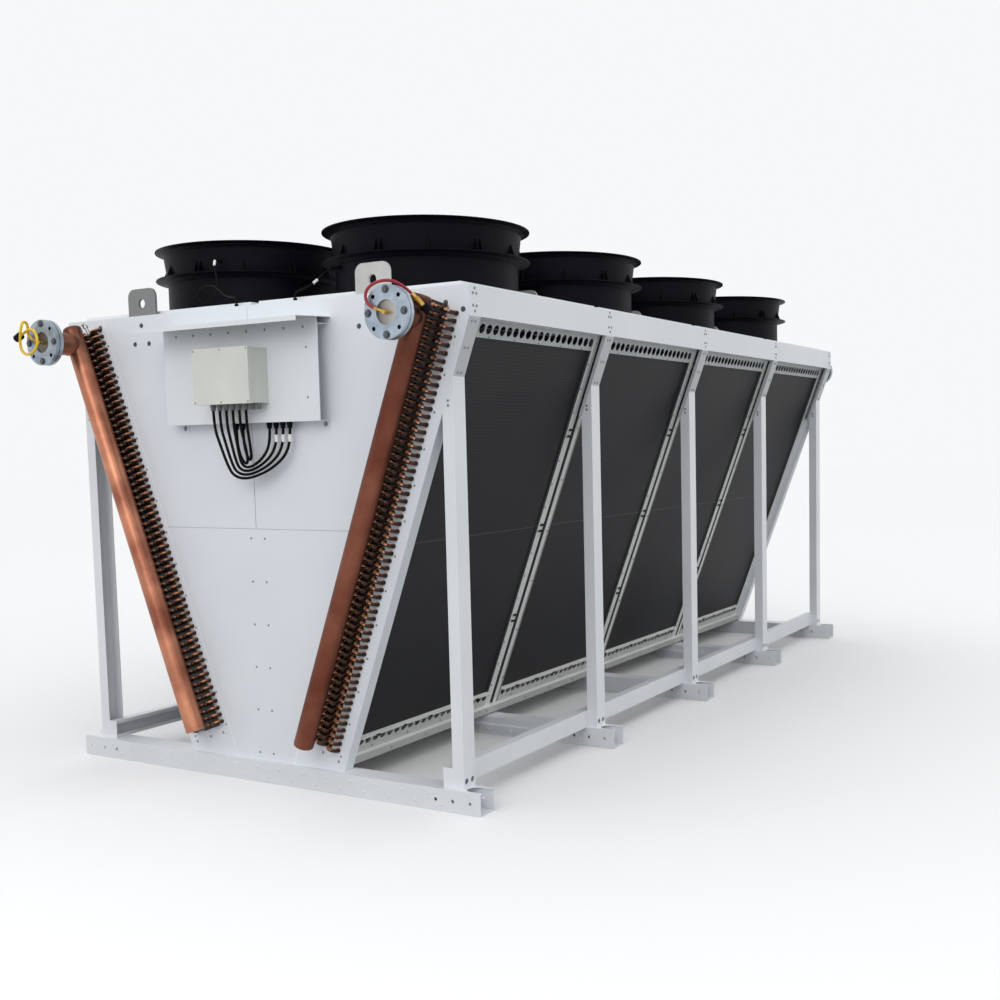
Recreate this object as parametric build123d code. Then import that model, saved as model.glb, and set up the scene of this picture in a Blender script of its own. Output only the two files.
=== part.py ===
"""V-bank remote radiator: two leaning coils under a fan deck, on a folded steel base frame.

Millimetres. X runs across the unit, Y along it (the piped front end faces -Y) and Z is up.
The origin is on the floor under the middle of the unit.
"""
import math
import os

from build123d import *

# Overall layout
BAYS = 4
BAY = 1242.0
FRAME_SETBACK = 28.5
TOP_HALF = 1237.0
FOOT_HALF = 481.0
CASING_TOP = 2250.0
BAND_HEIGHT = 130.0
SHEET = 3.0
SEAM = 2.0

# Base frame
BEAM_OVERHANG = 8.0
BEAM_WIDTH = 110.0
BEAM_HEIGHT = 100.0
BEAM_SHEET = 4.0
BEAM_NOTCH_R = 40.0
BEAM_NOTCH_LENGTH = 98.0
BEAM_HOLE_R = 8.0
BEAM_HOLE_INSETS = (55.0, 145.0, 235.0)
RAIL_WIDTH = 50.0
RAIL_HEIGHT = 88.0
RAIL_LIP = 16.0
POST_INSET = 92.0
POST_WIDTH = 58.0
POST_DEPTH = 88.0
POST_SHEET = 4.0
ARM_RETURN = 18.0
POST_HOLE_R = 13.0
POST_HOLE_HEIGHT = 32.0
POST_HOLE_SPREAD = 44.0

# Coils and their casing, measured inward from the leaning side face
FRAME_RECESS = 45.0
FIN_SETBACK = 10.0
COIL_DEPTH = 210.0
END_PLATE_DEPTH = 286.0
END_FLANGE = 60.0
STRIP_WIDTH = 50.0
STRIP_GAP = 30.0
STRIP_DEPTH = 40.0
SILL_HEIGHT = 44.0
SILL_RECESS = 24.0
FOOT_STRIP = 83.0
FOOT_LIP = 20.0
FOOT_HOLE_DROP = 25.0
TOP_STRIP = 80.0
STRIP_HOLES = 20
STRIP_HOLE_R = 22.0
STRIP_HOLE_PITCH = 55.0
PANEL_SEAM_RISE = 1110.0

# Fans
FAN_X = 563.0
DUCT_R = 440.0
DUCT_WALL = 5.0
DUCT_FLARE = 18.0
LIP_R = 500.0
LIP_DROP = 26.0
LIP_SHEET = 4.0
FAN_PLATE_RISE = 22.0
FAN_PLATE_GAP = 25.0
FAN_PLATE_EDGE = 75.0
MID_LIP_RISE = 212.0
RIM_RISE = 358.0
GUARD_BAR = 14.0
GUARD_THICK = 6.0
GUARD_BARS = 8
GUARD_INNER = 40.0
MOTOR_R = 105.0
MOTOR_HEIGHT = 90.0
HUB_R = 125.0
HUB_HEIGHT = 84.0
BLADES = 5
BLADE_R = 400.0
BLADE_THICK = 8.0
BLADE_SECTIONS = ((0.0, 150.0, 40.0, 0.0), (0.5, 180.0, 30.0, 14.0), (1.0, 195.0, 22.0, 40.0))
ROTOR_CLEARANCE = 0.3

# Lifting lugs
LUG_X = 720.0
LUG_WIDTH = 190.0
LUG_HEIGHT = 135.0
LUG_THICK = 12.0
LUG_ROUND = 42.0
LUG_HOLE_R = 22.0
LUG_HOLE_Z = 62.0

# Coil piping
HEADER_R = 46.0
HEADER_INSET = 178.0
HEADER_STANDOFF = 110.0
HEADER_LOW_RISE = 140.0
HEADER_DROP = 75.0
HEADER_CAP = 8.0
STUB_R = 54.0
STUB_NECK = 60.0
STUB_DROP = 130.0
FLANGE_R = 110.0
FLANGE_PCD_R = 90.0
FLANGE_HOLE_R = 9.0
FLANGE_HOLES = 8
FLANGE_THICK = 18.0
FLANGE_SEAM = 4.0
FLANGE_SEAL_R = 76.0
FLANGE_FACE = 310.0
FLANGE_RECESS_R = 50.0
FEEDER_INSET = 153.0
FEEDER_HALF = 5.0
VENT_ROD_R = 6.0
VENT_ROD = 52.0
VENT_ROD_OUT = 11.0
VENT_ROD_RISE = 20.0
VENT_CAP_R = 19.0
VENT_CAP_LENGTH = 34.0
BEND_ROWS = 66
BEND_PITCH = 31.75
BEND_COLUMNS = (66.0, 110.0, 196.0, 240.0)
BEND_HALF = 20.0
BEND_CROWN = 9.0
BEND_REACH = 36.0
BEND_THICK = 10.0
BEND_TILT = 30.0
BEND_START = 82.0

# Control box on the front end
PLATE_HALF = 478.0
PLATE_DROP = 115.0
PLATE_HEIGHT = 430.0
PLATE_STANDOFF = 70.0
HOOD_REACH = 225.0
HOOD_DROP = 84.0
HOOD_FALL = 12.0
HOOD_LIP = 22.0
HOOD_HALF = 495.0
BOX_CENTRE_X = 9.0
BOX_WIDTH = 338.0
BOX_HEIGHT = 247.0
BOX_DEPTH = 125.0
BOX_RISE = 88.0
BOX_LID = 22.0
BOX_LID_LIP = 3.0
GLAND_R = 11.0
GLAND_NUT_R = 14.0
GLAND_LENGTH = 28.0
GLAND_PITCH = 41.0
BOX_GLANDS = 8
BOX_GLAND_Y = 105.0
PLATE_GLAND_STEPS = (-5, -4, 0, 1, 2, 3)
PLATE_GLAND_X = 143.0
PLATE_GLAND_Y = 35.0

# Cables and hoses
BOX_CABLE_D = 13.0
BOX_CABLES = 6
BOX_LOOP_DROP = 253.0
BOX_LOOP_STEP = 17.0
BOX_CABLE_BACK = 26.0
FAN_CABLE_D = 8.0
HOSE_D = 13.0
BOSS_R = 9.0
BOSS_LENGTH = 14.0

# Derived layout
FRAME_LINES = [(k - BAYS / 2) * BAY for k in range(BAYS + 1)]
BAY_CENTRES = [(k + 0.5 - BAYS / 2) * BAY for k in range(BAYS)]
END_Y = BAYS * BAY / 2 + FRAME_SETBACK
BAND_Z = CASING_TOP - BAND_HEIGHT
BEAM_LENGTH = 2 * (TOP_HALF + BEAM_OVERHANG)
POST_OUTER = TOP_HALF - POST_INSET
RAIL_OUTER = POST_OUTER - POST_WIDTH
SLOPE = (TOP_HALF - FOOT_HALF) / (BAND_Z - BEAM_HEIGHT)
LEAN_ANGLE = math.degrees(math.atan(SLOPE))
LEAN_COS = math.cos(math.radians(LEAN_ANGLE))
LEAN_SIN = math.sin(math.radians(LEAN_ANGLE))
LEAN_LENGTH = (BAND_Z - BEAM_HEIGHT) / LEAN_COS
COIL_RECESS = FRAME_RECESS + FIN_SETBACK
COIL_BACK = COIL_RECESS + COIL_DEPTH
COIL_LOW = SILL_HEIGHT + FOOT_STRIP
COIL_HIGH = LEAN_LENGTH - FRAME_RECESS * SLOPE - TOP_STRIP
ARM_LOW = (RAIL_OUTER - FOOT_HALF) / LEAN_SIN
PANEL_SEAM_Z = BEAM_HEIGHT + PANEL_SEAM_RISE
FAN_DECK_Z = CASING_TOP + FAN_PLATE_RISE
MID_LIP_Z = CASING_TOP + MID_LIP_RISE
RIM_Z = CASING_TOP + RIM_RISE
HEADER_LOW_Z = BEAM_HEIGHT + HEADER_LOW_RISE
HEADER_TOP_Z = CASING_TOP - HEADER_DROP
STUB_Z = CASING_TOP - STUB_DROP
PLATE_TOP_Z = CASING_TOP - PLATE_DROP
PLATE_LOW_Z = PLATE_TOP_Z - PLATE_HEIGHT
HOOD_BACK_Z = CASING_TOP - HOOD_DROP
BOX_LOW_Z = PLATE_LOW_Z + BOX_RISE
BOX_GLAND_X = BOX_CENTRE_X - (BOX_GLANDS - 1) / 2 * GLAND_PITCH
STRIP_OUT = STRIP_GAP / 2 + STRIP_WIDTH
POST_LINES = [-END_Y + POST_DEPTH / 2] + FRAME_LINES[1:-1] + [END_Y - POST_DEPTH / 2]

# A frame on the foot of the right side face: x outward, y along the unit, z up the slope
LEAN = Plane(
    origin=(FOOT_HALF, 0, BEAM_HEIGHT),
    x_dir=(LEAN_COS, 0, -LEAN_SIN),
    z_dir=(LEAN_SIN, 0, LEAN_COS),
)


def block(x0, x1, y0, y1, z0, z1):
    """A box given by its limits."""
    centre = Pos((x0 + x1) / 2, (y0 + y1) / 2, (z0 + z1) / 2)
    return centre * Box(x1 - x0, y1 - y0, z1 - z0)


def lean_block(depth0, depth1, y0, y1, low, high):
    """A box on the leaning side face, from depth0 to depth1 inward of it."""
    return LEAN.location * block(-depth1, -depth0, y0, y1, low, high)


def under_band(shape):
    """A leaning piece trimmed level with the foot of the top band."""
    return shape - block(-2 * TOP_HALF, 2 * TOP_HALF, -2 * END_Y, 2 * END_Y, BAND_Z, BAND_Z + BAND_HEIGHT)


def flip_x(shape):
    return mirror(shape, about=Plane.YZ)


def flip_y(shape):
    return mirror(shape, about=Plane.XZ)


def both_sides(shapes):
    return list(shapes) + [flip_x(shape) for shape in shapes]


def both_ends(shapes):
    return list(shapes) + [flip_y(shape) for shape in shapes]


def side_x(z, inset=0.0):
    """How far out the leaning face lies at a height, less an inset square to it."""
    return FOOT_HALF + (z - BEAM_HEIGHT) * SLOPE - inset / LEAN_COS


def end_sheet(points, y0, thick=SHEET):
    """An upright sheet across the unit with the given outline in X and Z."""
    outline = make_face(Polyline(*[(x, z) for x, z in points], close=True))
    return Pos(0, y0 + thick, 0) * Rot(90, 0, 0) * extrude(outline, thick)


# Base frame


def crossbeam():
    """A folded box beam with open ends, a finger notch in its top and bolt holes in its webs."""
    beam = Box(BEAM_LENGTH, BEAM_WIDTH, BEAM_HEIGHT)
    beam -= Box(BEAM_LENGTH + 2, BEAM_WIDTH - 2 * BEAM_SHEET, BEAM_HEIGHT - 2 * BEAM_SHEET)
    hole = Rot(90, 0, 0) * Cylinder(BEAM_HOLE_R, BEAM_WIDTH + 2)
    straight = BEAM_NOTCH_LENGTH - BEAM_NOTCH_R
    notch = Cylinder(BEAM_NOTCH_R, 2 * BEAM_SHEET + 2)
    notch += Pos(straight / 2, 0, 0) * Box(straight, 2 * BEAM_NOTCH_R, 2 * BEAM_SHEET + 2)
    for side, turn in ((-1, 180), (1, 0)):
        beam -= Pos(side * (BEAM_LENGTH / 2 - straight), 0, BEAM_HEIGHT / 2) * Rot(0, 0, turn) * notch
        for inset in BEAM_HOLE_INSETS:
            beam -= Pos(side * (BEAM_LENGTH / 2 - inset), 0, 0) * hole
    return Pos(0, 0, BEAM_HEIGHT / 2) * beam


def crossbeams():
    return [Pos(0, y, 0) * crossbeam() for y in FRAME_LINES]


def base_rail():
    """A lipped channel that lies on the crossbeams, opens inward and is closed at its ends."""
    half = END_Y
    low, high = BEAM_HEIGHT, BEAM_HEIGHT + RAIL_HEIGHT
    inner = RAIL_OUTER - RAIL_WIDTH
    rail = block(inner, RAIL_OUTER, -half, half, low, high)
    half -= POST_SHEET
    rail -= block(inner + POST_SHEET, RAIL_OUTER - POST_SHEET, -half, half, low + POST_SHEET, high - POST_SHEET)
    rail -= block(inner - 1, inner + POST_SHEET + 1, -half, half, low + RAIL_LIP, high - RAIL_LIP)
    return rail


def base_rails():
    return both_sides([base_rail()])


def post():
    """An upright channel outside the rail, cut to the slope of the coil at its top."""
    outer = POST_OUTER
    top = BEAM_HEIGHT + (outer - FOOT_HALF) / SLOPE
    low = BEAM_HEIGHT
    shape = block(RAIL_OUTER, outer, -POST_DEPTH / 2, POST_DEPTH / 2, low, top)
    shape -= block(
        RAIL_OUTER - 1,
        outer - POST_SHEET,
        POST_SHEET - POST_DEPTH / 2,
        POST_DEPTH / 2 - POST_SHEET,
        low - 1,
        top + 1,
    )
    shape -= lean_block(0, END_PLATE_DEPTH, -POST_DEPTH, POST_DEPTH, 0, LEAN_LENGTH)
    for side in (-0.5, 0.5):
        hole = Rot(0, 90, 0) * Cylinder(POST_HOLE_R, 4 * POST_SHEET)
        shape -= Pos(outer, side * POST_HOLE_SPREAD, low + POST_HOLE_HEIGHT) * hole
    return shape


def posts():
    return both_sides([Pos(0, y, 0) * post() for y in POST_LINES])


def arm(y0, y1):
    """A cranked channel that lies on the post's cut top and runs up past the band to the deck."""
    leaning = lean_block(0, ARM_RETURN, y0, y1, ARM_LOW, LEAN_LENGTH)
    leaning -= lean_block(
        POST_SHEET, 2 * FRAME_RECESS, y0 + POST_SHEET, y1 - POST_SHEET, ARM_LOW - 1, LEAN_LENGTH + 1
    )
    top = CASING_TOP - SHEET
    upright = block(TOP_HALF - FRAME_RECESS, TOP_HALF, y0, y1, BAND_Z, top)
    upright -= block(
        TOP_HALF - 2 * FRAME_RECESS, TOP_HALF - POST_SHEET, y0 + POST_SHEET, y1 - POST_SHEET, BAND_Z - 1, top + 1
    )
    return under_band(leaning) + upright


def arms():
    shapes = []
    for y in POST_LINES:
        low = max(y - POST_DEPTH / 2, -END_Y + SHEET)
        high = min(y + POST_DEPTH / 2, END_Y - SHEET)
        shapes.append(arm(low, high))
    return both_sides(shapes)


# Coils and casing


def bay_limits():
    """The clear length of each coil block along Y, between the frame strips."""
    spans = []
    for k in range(BAYS):
        low = FRAME_LINES[k] + STRIP_OUT
        high = FRAME_LINES[k + 1] - STRIP_OUT
        if k == 0:
            low = -END_Y + END_FLANGE + STRIP_WIDTH
        if k == BAYS - 1:
            high = END_Y - END_FLANGE - STRIP_WIDTH
        spans.append((low, high))
    return spans


def coils():
    blocks = []
    for low, high in bay_limits():
        blocks.append(lean_block(COIL_RECESS, COIL_RECESS + COIL_DEPTH, low, high, COIL_LOW, COIL_HIGH))
    return both_sides(blocks)


def frame_strip(fin_y, side):
    """A folded channel beside a coil block: a face, a deep leg along the fins and a short leg."""
    y0, y1 = sorted((fin_y, fin_y + side * STRIP_WIDTH))
    face = lean_block(FRAME_RECESS, FRAME_RECESS + SHEET, y0, y1, SILL_HEIGHT, LEAN_LENGTH)
    far = fin_y + side * STRIP_WIDTH
    for y, depth in ((fin_y, COIL_BACK), (far, FRAME_RECESS + STRIP_DEPTH)):
        inner = y + SHEET * (side if y == fin_y else -side)
        face += lean_block(FRAME_RECESS, depth, min(y, inner), max(y, inner), SILL_HEIGHT, LEAN_LENGTH)
    return under_band(face)


def frame_strips():
    strips = []
    for low, high in bay_limits():
        strips += [frame_strip(low, -1), frame_strip(high, 1)]
    return both_sides(strips)


def baffles():
    """Plates that close the gap between two coil blocks from behind."""
    plates = []
    for y in FRAME_LINES[1:-1]:
        plate = lean_block(COIL_BACK, COIL_BACK + SHEET, y - STRIP_OUT, y + STRIP_OUT, SILL_HEIGHT, LEAN_LENGTH)
        plates.append(under_band(plate))
    return both_sides(plates)


def sill():
    """The bottom channel of a coil; its top is the ledge that the coil blocks stand on."""
    half = END_Y - SHEET
    inner = END_PLATE_DEPTH
    channel = lean_block(SILL_RECESS, inner, -half, half, 0, SILL_HEIGHT)
    room = lean_block(
        SILL_RECESS + SHEET, inner - SHEET, -half - 1, half + 1, -1, SILL_HEIGHT - SHEET
    )
    channel -= room
    return channel - block(0, 2 * TOP_HALF, -END_Y, END_Y, 0, BEAM_HEIGHT)


def sills():
    return both_sides([sill()])


def perforated(y0, y1, depth, low, high, row):
    """A strip on the slope with one row of round holes."""
    strip = lean_block(depth, depth + SHEET, y0, y1, low, high)
    for k in range(STRIP_HOLES):
        y = (y0 + y1) / 2 + (k - (STRIP_HOLES - 1) / 2) * STRIP_HOLE_PITCH
        hole = Pos(-depth, y, row) * Rot(0, 90, 0) * Cylinder(STRIP_HOLE_R, 4 * SHEET)
        strip -= LEAN.location * hole
    return strip


def foot_strips():
    """Strips that stand on the sill, with a lip turned out under the fins."""
    strips = []
    for y0, y1 in bay_limits():
        strip = perforated(y0, y1, FRAME_RECESS, SILL_HEIGHT, COIL_LOW, COIL_LOW - FOOT_HOLE_DROP)
        lip = lean_block(FRAME_RECESS - FOOT_LIP, COIL_RECESS, y0, y1, COIL_LOW - SHEET, COIL_LOW)
        strips.append(strip + lip)
    return both_sides(strips)


def top_strips():
    strips = []
    for y0, y1 in bay_limits():
        row = COIL_HIGH + TOP_STRIP / 2
        strips.append(under_band(perforated(y0, y1, FRAME_RECESS, COIL_HIGH, LEAN_LENGTH, row)))
    return both_sides(strips)


def end_plate():
    """A tube sheet on the front end, with a folded flange along its leaning edge."""
    inner_top = side_x(CASING_TOP, END_PLATE_DEPTH)
    inner_low = side_x(BEAM_HEIGHT, END_PLATE_DEPTH)
    plate = end_sheet(
        [
            (inner_low, BEAM_HEIGHT),
            (FOOT_HALF, BEAM_HEIGHT),
            (TOP_HALF, BAND_Z),
            (TOP_HALF, CASING_TOP),
            (inner_top, CASING_TOP),
        ],
        -END_Y,
    )
    edge = -END_Y + END_FLANGE
    flange = lean_block(0, SHEET, -END_Y, edge, 0, ARM_LOW)
    leg = lean_block(0, FRAME_RECESS + SHEET, edge - SHEET, edge, SILL_HEIGHT, ARM_LOW)
    toe = lean_block(0, SILL_RECESS, edge - SHEET, edge, 0, SILL_HEIGHT)
    return plate + flange + leg + toe


def end_plates():
    return both_sides([end_plate()])


def upper_panels():
    """Two upper sheets between the tube sheets, with a seam on the middle line."""
    sheet = end_sheet(
        [
            (SEAM / 2, PANEL_SEAM_Z),
            (side_x(PANEL_SEAM_Z, END_PLATE_DEPTH), PANEL_SEAM_Z),
            (side_x(CASING_TOP, END_PLATE_DEPTH), CASING_TOP),
            (SEAM / 2, CASING_TOP),
        ],
        -END_Y,
    )
    return both_sides([sheet])


def lower_panel():
    seam = side_x(PANEL_SEAM_Z, END_PLATE_DEPTH)
    foot = side_x(BEAM_HEIGHT, END_PLATE_DEPTH)
    return end_sheet(
        [(-foot, BEAM_HEIGHT), (foot, BEAM_HEIGHT), (seam, PANEL_SEAM_Z), (-seam, PANEL_SEAM_Z)], -END_Y
    )


def side_bands():
    """Upright top bands between the arms, one sheet to a bay, with a foot turned in over the coil."""
    bands = []
    reach = (FRAME_RECESS + STRIP_DEPTH) / LEAN_COS
    for k in range(BAYS):
        low = POST_LINES[k] + POST_DEPTH / 2
        high = POST_LINES[k + 1] - POST_DEPTH / 2
        face = block(TOP_HALF - SHEET, TOP_HALF, low, high, BAND_Z, CASING_TOP - SHEET)
        foot = block(TOP_HALF - reach, TOP_HALF, low, high, BAND_Z, BAND_Z + SHEET)
        bands.append(face + foot)
    return both_sides(bands)


def deck_plates():
    """One deck sheet to a bay, with a round throat for each fan."""
    plates = []
    for k, centre in enumerate(BAY_CENTRES):
        low = -END_Y + SHEET if k == 0 else FRAME_LINES[k] + SEAM / 2
        high = END_Y - SHEET if k == BAYS - 1 else FRAME_LINES[k + 1] - SEAM / 2
        plate = block(-TOP_HALF, TOP_HALF, low, high, CASING_TOP - SHEET, CASING_TOP)
        for side in (-1, 1):
            plate -= Pos(side * FAN_X, centre, CASING_TOP) * Cylinder(DUCT_R - DUCT_WALL, 4 * SHEET)
        plates.append(plate)
    return plates


def fan_plates():
    """A shallow tray for each fan, turned down onto the deck on all four sides."""
    plates = []
    for side, k, x, y in fan_places():
        edges = (FAN_PLATE_GAP, TOP_HALF - FAN_PLATE_EDGE)
        x0, x1 = sorted(side * edge for edge in edges)
        y0, y1 = FRAME_LINES[k] + FAN_PLATE_GAP, FRAME_LINES[k + 1] - FAN_PLATE_GAP
        tray = block(x0, x1, y0, y1, CASING_TOP, FAN_DECK_Z)
        tray -= block(x0 + SHEET, x1 - SHEET, y0 + SHEET, y1 - SHEET, CASING_TOP - 1, FAN_DECK_Z - SHEET)
        plates.append(tray - Pos(x, y, FAN_DECK_Z) * Cylinder(DUCT_R - DUCT_WALL, 4 * SHEET))
    return plates


def floor_sheet():
    """The sheet that closes the bottom of the V between the two sills."""
    half = side_x(BEAM_HEIGHT, END_PLATE_DEPTH)
    return block(-half, half, -END_Y + SHEET, END_Y - SHEET, BEAM_HEIGHT, BEAM_HEIGHT + SHEET)


# Fans


def trumpet(wall_r, top):
    """The outline of a lip that curves out of a wall and ends in a flat rim."""
    return [
        (wall_r, top - LIP_DROP),
        (wall_r + (LIP_R - wall_r) * 0.35, top - LIP_DROP * 0.42),
        (LIP_R, top - LIP_SHEET),
        (LIP_R, top),
    ]


def duct():
    """The fan's plastic duct: a straight ring, a flared joint and an outlet diffuser."""
    wide_r = DUCT_R + DUCT_FLARE
    inner = DUCT_R - DUCT_WALL
    points = [(inner, FAN_DECK_Z), (DUCT_R, FAN_DECK_Z)]
    points += trumpet(DUCT_R, MID_LIP_Z)
    points += [(DUCT_R + 2, MID_LIP_Z)]
    points += trumpet(wide_r, RIM_Z)
    points += [(wide_r - DUCT_WALL, RIM_Z), (inner, MID_LIP_Z)]
    outline = make_face(Polyline(*points, close=True))
    return revolve(Rot(90, 0, 0) * outline, Axis.Z)


def fan_places():
    return [(side, k, side * FAN_X, y) for side in (-1, 1) for k, y in enumerate(BAY_CENTRES)]


def guard():
    """Flat bars from the duct wall to the motor, which hangs under their inner ends."""
    edge = DUCT_R - DUCT_WALL - ROTOR_CLEARANCE
    middle = Pos((GUARD_INNER + edge) / 2, 0, MID_LIP_Z - GUARD_THICK / 2)
    bar = middle * Box(edge - GUARD_INNER, GUARD_BAR, GUARD_THICK)
    return [Rot(0, 0, k * 360 / GUARD_BARS) * bar for k in range(GUARD_BARS)]


def motor():
    top = MID_LIP_Z - GUARD_THICK
    return Pos(0, 0, top - MOTOR_HEIGHT / 2) * Cylinder(MOTOR_R, MOTOR_HEIGHT)


def rotor_low():
    return MID_LIP_Z - GUARD_THICK - MOTOR_HEIGHT - DUCT_WALL


def rotor():
    """A cup hub round the foot of the motor."""
    low = rotor_low()
    hub = Pos(0, 0, low + HUB_HEIGHT / 2) * Cylinder(HUB_R, HUB_HEIGHT)
    bore = Cylinder(MOTOR_R + ROTOR_CLEARANCE, HUB_HEIGHT)
    return hub - Pos(0, 0, low + DUCT_WALL + HUB_HEIGHT / 2) * bore


def blades():
    """Twisted, swept blades lofted through three sections and seated on the hub."""
    seat = HUB_R + ROTOR_CLEARANCE
    sections = []
    for part, chord, pitch, sweep_y in BLADE_SECTIONS:
        radius = HUB_R * 0.8 + part * (BLADE_R - HUB_R * 0.8)
        angle = math.radians(pitch)
        plane = Plane((radius, sweep_y, 0), x_dir=(0, math.cos(angle), math.sin(angle)), z_dir=(1, 0, 0))
        sections.append(plane.location * Rectangle(chord, BLADE_THICK))
    blade = loft(sections) - Cylinder(seat, 3 * HUB_HEIGHT)
    place = Pos(0, 0, rotor_low() + HUB_HEIGHT / 2)
    return [place * Rot(0, 0, k * 360 / BLADES) * blade for k in range(BLADES)]


def lug():
    """A lifting plate with rounded shoulders and an eye."""
    face = Pos(0, LUG_HEIGHT / 2) * Rectangle(LUG_WIDTH, LUG_HEIGHT)
    face = fillet(face.vertices().group_by(Axis.Y)[-1], LUG_ROUND)
    plate = extrude(face, LUG_THICK / 2, both=True)
    plate -= Pos(0, LUG_HOLE_Z, 0) * Cylinder(LUG_HOLE_R, 2 * LUG_THICK)
    return Pos(0, 0, CASING_TOP) * Rot(90, 0, 0) * plate


def lugs():
    return [Pos(side * LUG_X, y, 0) * lug() for side in (-1, 1) for y in FRAME_LINES]


# Coil piping


def header_point(z):
    """The header's axis at a height, on the front end of the right coil."""
    return Vector(side_x(z, HEADER_INSET), -END_Y - HEADER_STANDOFF, z)


def feeders():
    """The short tubes from the header to the tube sheet, one to each row of bends."""
    outline = Polyline(
        (-FEEDER_INSET - FEEDER_HALF, 0),
        (FEEDER_HALF - FEEDER_INSET, 0),
        (FEEDER_HALF - HEADER_INSET, -HEADER_STANDOFF),
        (-HEADER_INSET - FEEDER_HALF, -HEADER_STANDOFF),
        close=True,
    )
    tube = extrude(make_face(outline), FEEDER_HALF, both=True)
    rows = [BEND_START + row * BEND_PITCH for row in range(1, BEND_ROWS - 1)]
    return [LEAN.location * Pos(0, -END_Y, row) * tube for row in rows]


def header():
    """A capped copper header along the coil with a stub for its flange."""
    low, high = header_point(HEADER_LOW_Z), header_point(HEADER_TOP_Z)
    axis = high - low
    tube = Plane(low, z_dir=axis).location * Pos(0, 0, axis.length / 2) * Cylinder(HEADER_R, axis.length)
    for point, way in ((low, axis * -1), (high, axis)):
        cap = Pos(0, 0, HEADER_CAP / 2) * Cone(HEADER_R, HEADER_R - HEADER_CAP, HEADER_CAP)
        tube += Plane(point, z_dir=way).location * cap
    start = header_point(STUB_Z)
    reach = FLANGE_FACE - HEADER_STANDOFF - 1.5 * FLANGE_THICK - FLANGE_SEAM
    place = Plane(start, z_dir=(0, -1, 0)).location
    neck = place * Pos(0, 0, STUB_NECK / 2) * Cone(HEADER_R * 0.9, STUB_R, STUB_NECK)
    stub = place * Pos(0, 0, (STUB_NECK + reach) / 2) * Cylinder(STUB_R, reach - STUB_NECK)
    return tube + [neck, stub] + feeders()


def headers():
    return both_ends(both_sides([header()]))


def flange_at(depth):
    """A place on the stub's axis, its z pointing out of the unit, depth behind the flange face."""
    point = header_point(STUB_Z)
    return Plane((point.X, -END_Y - FLANGE_FACE + depth, point.Z), z_dir=(0, -1, 0)).location


def bored_ring(bore_r):
    ring = Cylinder(FLANGE_R, FLANGE_THICK) - Cylinder(bore_r, 2 * FLANGE_THICK)
    for k in range(FLANGE_HOLES):
        angle = math.radians(k * 360 / FLANGE_HOLES)
        hole = Cylinder(FLANGE_HOLE_R, 2 * FLANGE_THICK)
        ring -= Pos(FLANGE_PCD_R * math.cos(angle), FLANGE_PCD_R * math.sin(angle), 0) * hole
    return ring


def back_flanges():
    seal = Pos(0, 0, (FLANGE_THICK + FLANGE_SEAM) / 2) * Cylinder(FLANGE_SEAL_R, FLANGE_SEAM)
    seal -= Cylinder(STUB_R, 4 * FLANGE_THICK)
    ring = flange_at(1.5 * FLANGE_THICK + FLANGE_SEAM) * (bored_ring(STUB_R) + seal)
    return both_ends(both_sides([ring]))


def front_flanges():
    ring = flange_at(0.5 * FLANGE_THICK) * bored_ring(FLANGE_RECESS_R)
    return both_ends(both_sides([ring]))


def flange_plugs():
    """The closing disc and vent nipple inside the front ring; at the front a side outlet for a hose."""
    disc = Pos(0, 0, -FLANGE_THICK / 4) * Cylinder(FLANGE_RECESS_R, FLANGE_THICK / 2)
    nipple = Pos(0, 0, 0.75 * FLANGE_THICK) * Cylinder(FLANGE_HOLE_R, 1.5 * FLANGE_THICK)
    plug = flange_at(0.5 * FLANGE_THICK) * (disc + nipple)
    plugs = both_ends(both_sides([plug]))
    for k, side in ((0, 1), (1, -1)):
        middle, end = hose_point(side), hose_point(side, *ROD_END)
        rod = Pos(0, 0, VENT_ROD / 2) * Cylinder(VENT_ROD_R, VENT_ROD)
        plugs[k] += Plane(middle, z_dir=end - middle).location * rod
    return plugs


def vent_caps():
    """The black caps at the free ends of the two hoses."""
    cap = Pos(0, 0, VENT_CAP_LENGTH / 2) * Cylinder(VENT_CAP_R, VENT_CAP_LENGTH)
    ends = [route[-2:] for route in (right_hose_route(), left_hose_route())]
    return [Plane(end, z_dir=end - before).location * cap for before, end in ends]


def bend():
    """One return bend, tapered to its crown, standing on the tube sheet."""
    outline = Polyline(
        (-BEND_HALF, 0), (BEND_HALF, 0), (BEND_CROWN, BEND_REACH), (-BEND_CROWN, BEND_REACH), close=True
    )
    return extrude(make_face(outline), BEND_THICK / 2, both=True)


def return_bends():
    """Columns of return bends on the front tube sheets, all tilted the same way."""
    bends = []
    shape = bend()
    for column in BEND_COLUMNS:
        for row in range(BEND_ROWS):
            place = LEAN.location * Pos(-column, -END_Y, BEND_START + row * BEND_PITCH)
            bends.append(place * Rot(0, BEND_TILT, 0) * Rot(180, 0, 0) * shape)
    return both_sides(bends)


# Control box


def control_plate():
    """A stood-off sheet with top and bottom flanges back to the end panel."""
    face = -END_Y - PLATE_STANDOFF
    sheet = block(-PLATE_HALF, PLATE_HALF, face, face + SHEET, PLATE_LOW_Z, PLATE_TOP_Z)
    for low in (PLATE_LOW_Z, PLATE_TOP_Z - SHEET):
        sheet += block(-PLATE_HALF, PLATE_HALF, face, -END_Y, low, low + SHEET)
    return sheet


def rain_hood():
    """A sloping rain sheet over the control plate with a turned-down front lip."""
    front = -END_Y - HOOD_REACH
    low = HOOD_BACK_Z - HOOD_FALL
    outline = Polyline(
        (-END_Y, HOOD_BACK_Z),
        (front, low),
        (front, low - HOOD_LIP),
        (front + SHEET, low - HOOD_LIP),
        (front + SHEET, low - SHEET),
        (-END_Y, HOOD_BACK_Z - SHEET),
        close=True,
    )
    return extrude(Plane.YZ.location * make_face(outline), HOOD_HALF, both=True)


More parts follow.
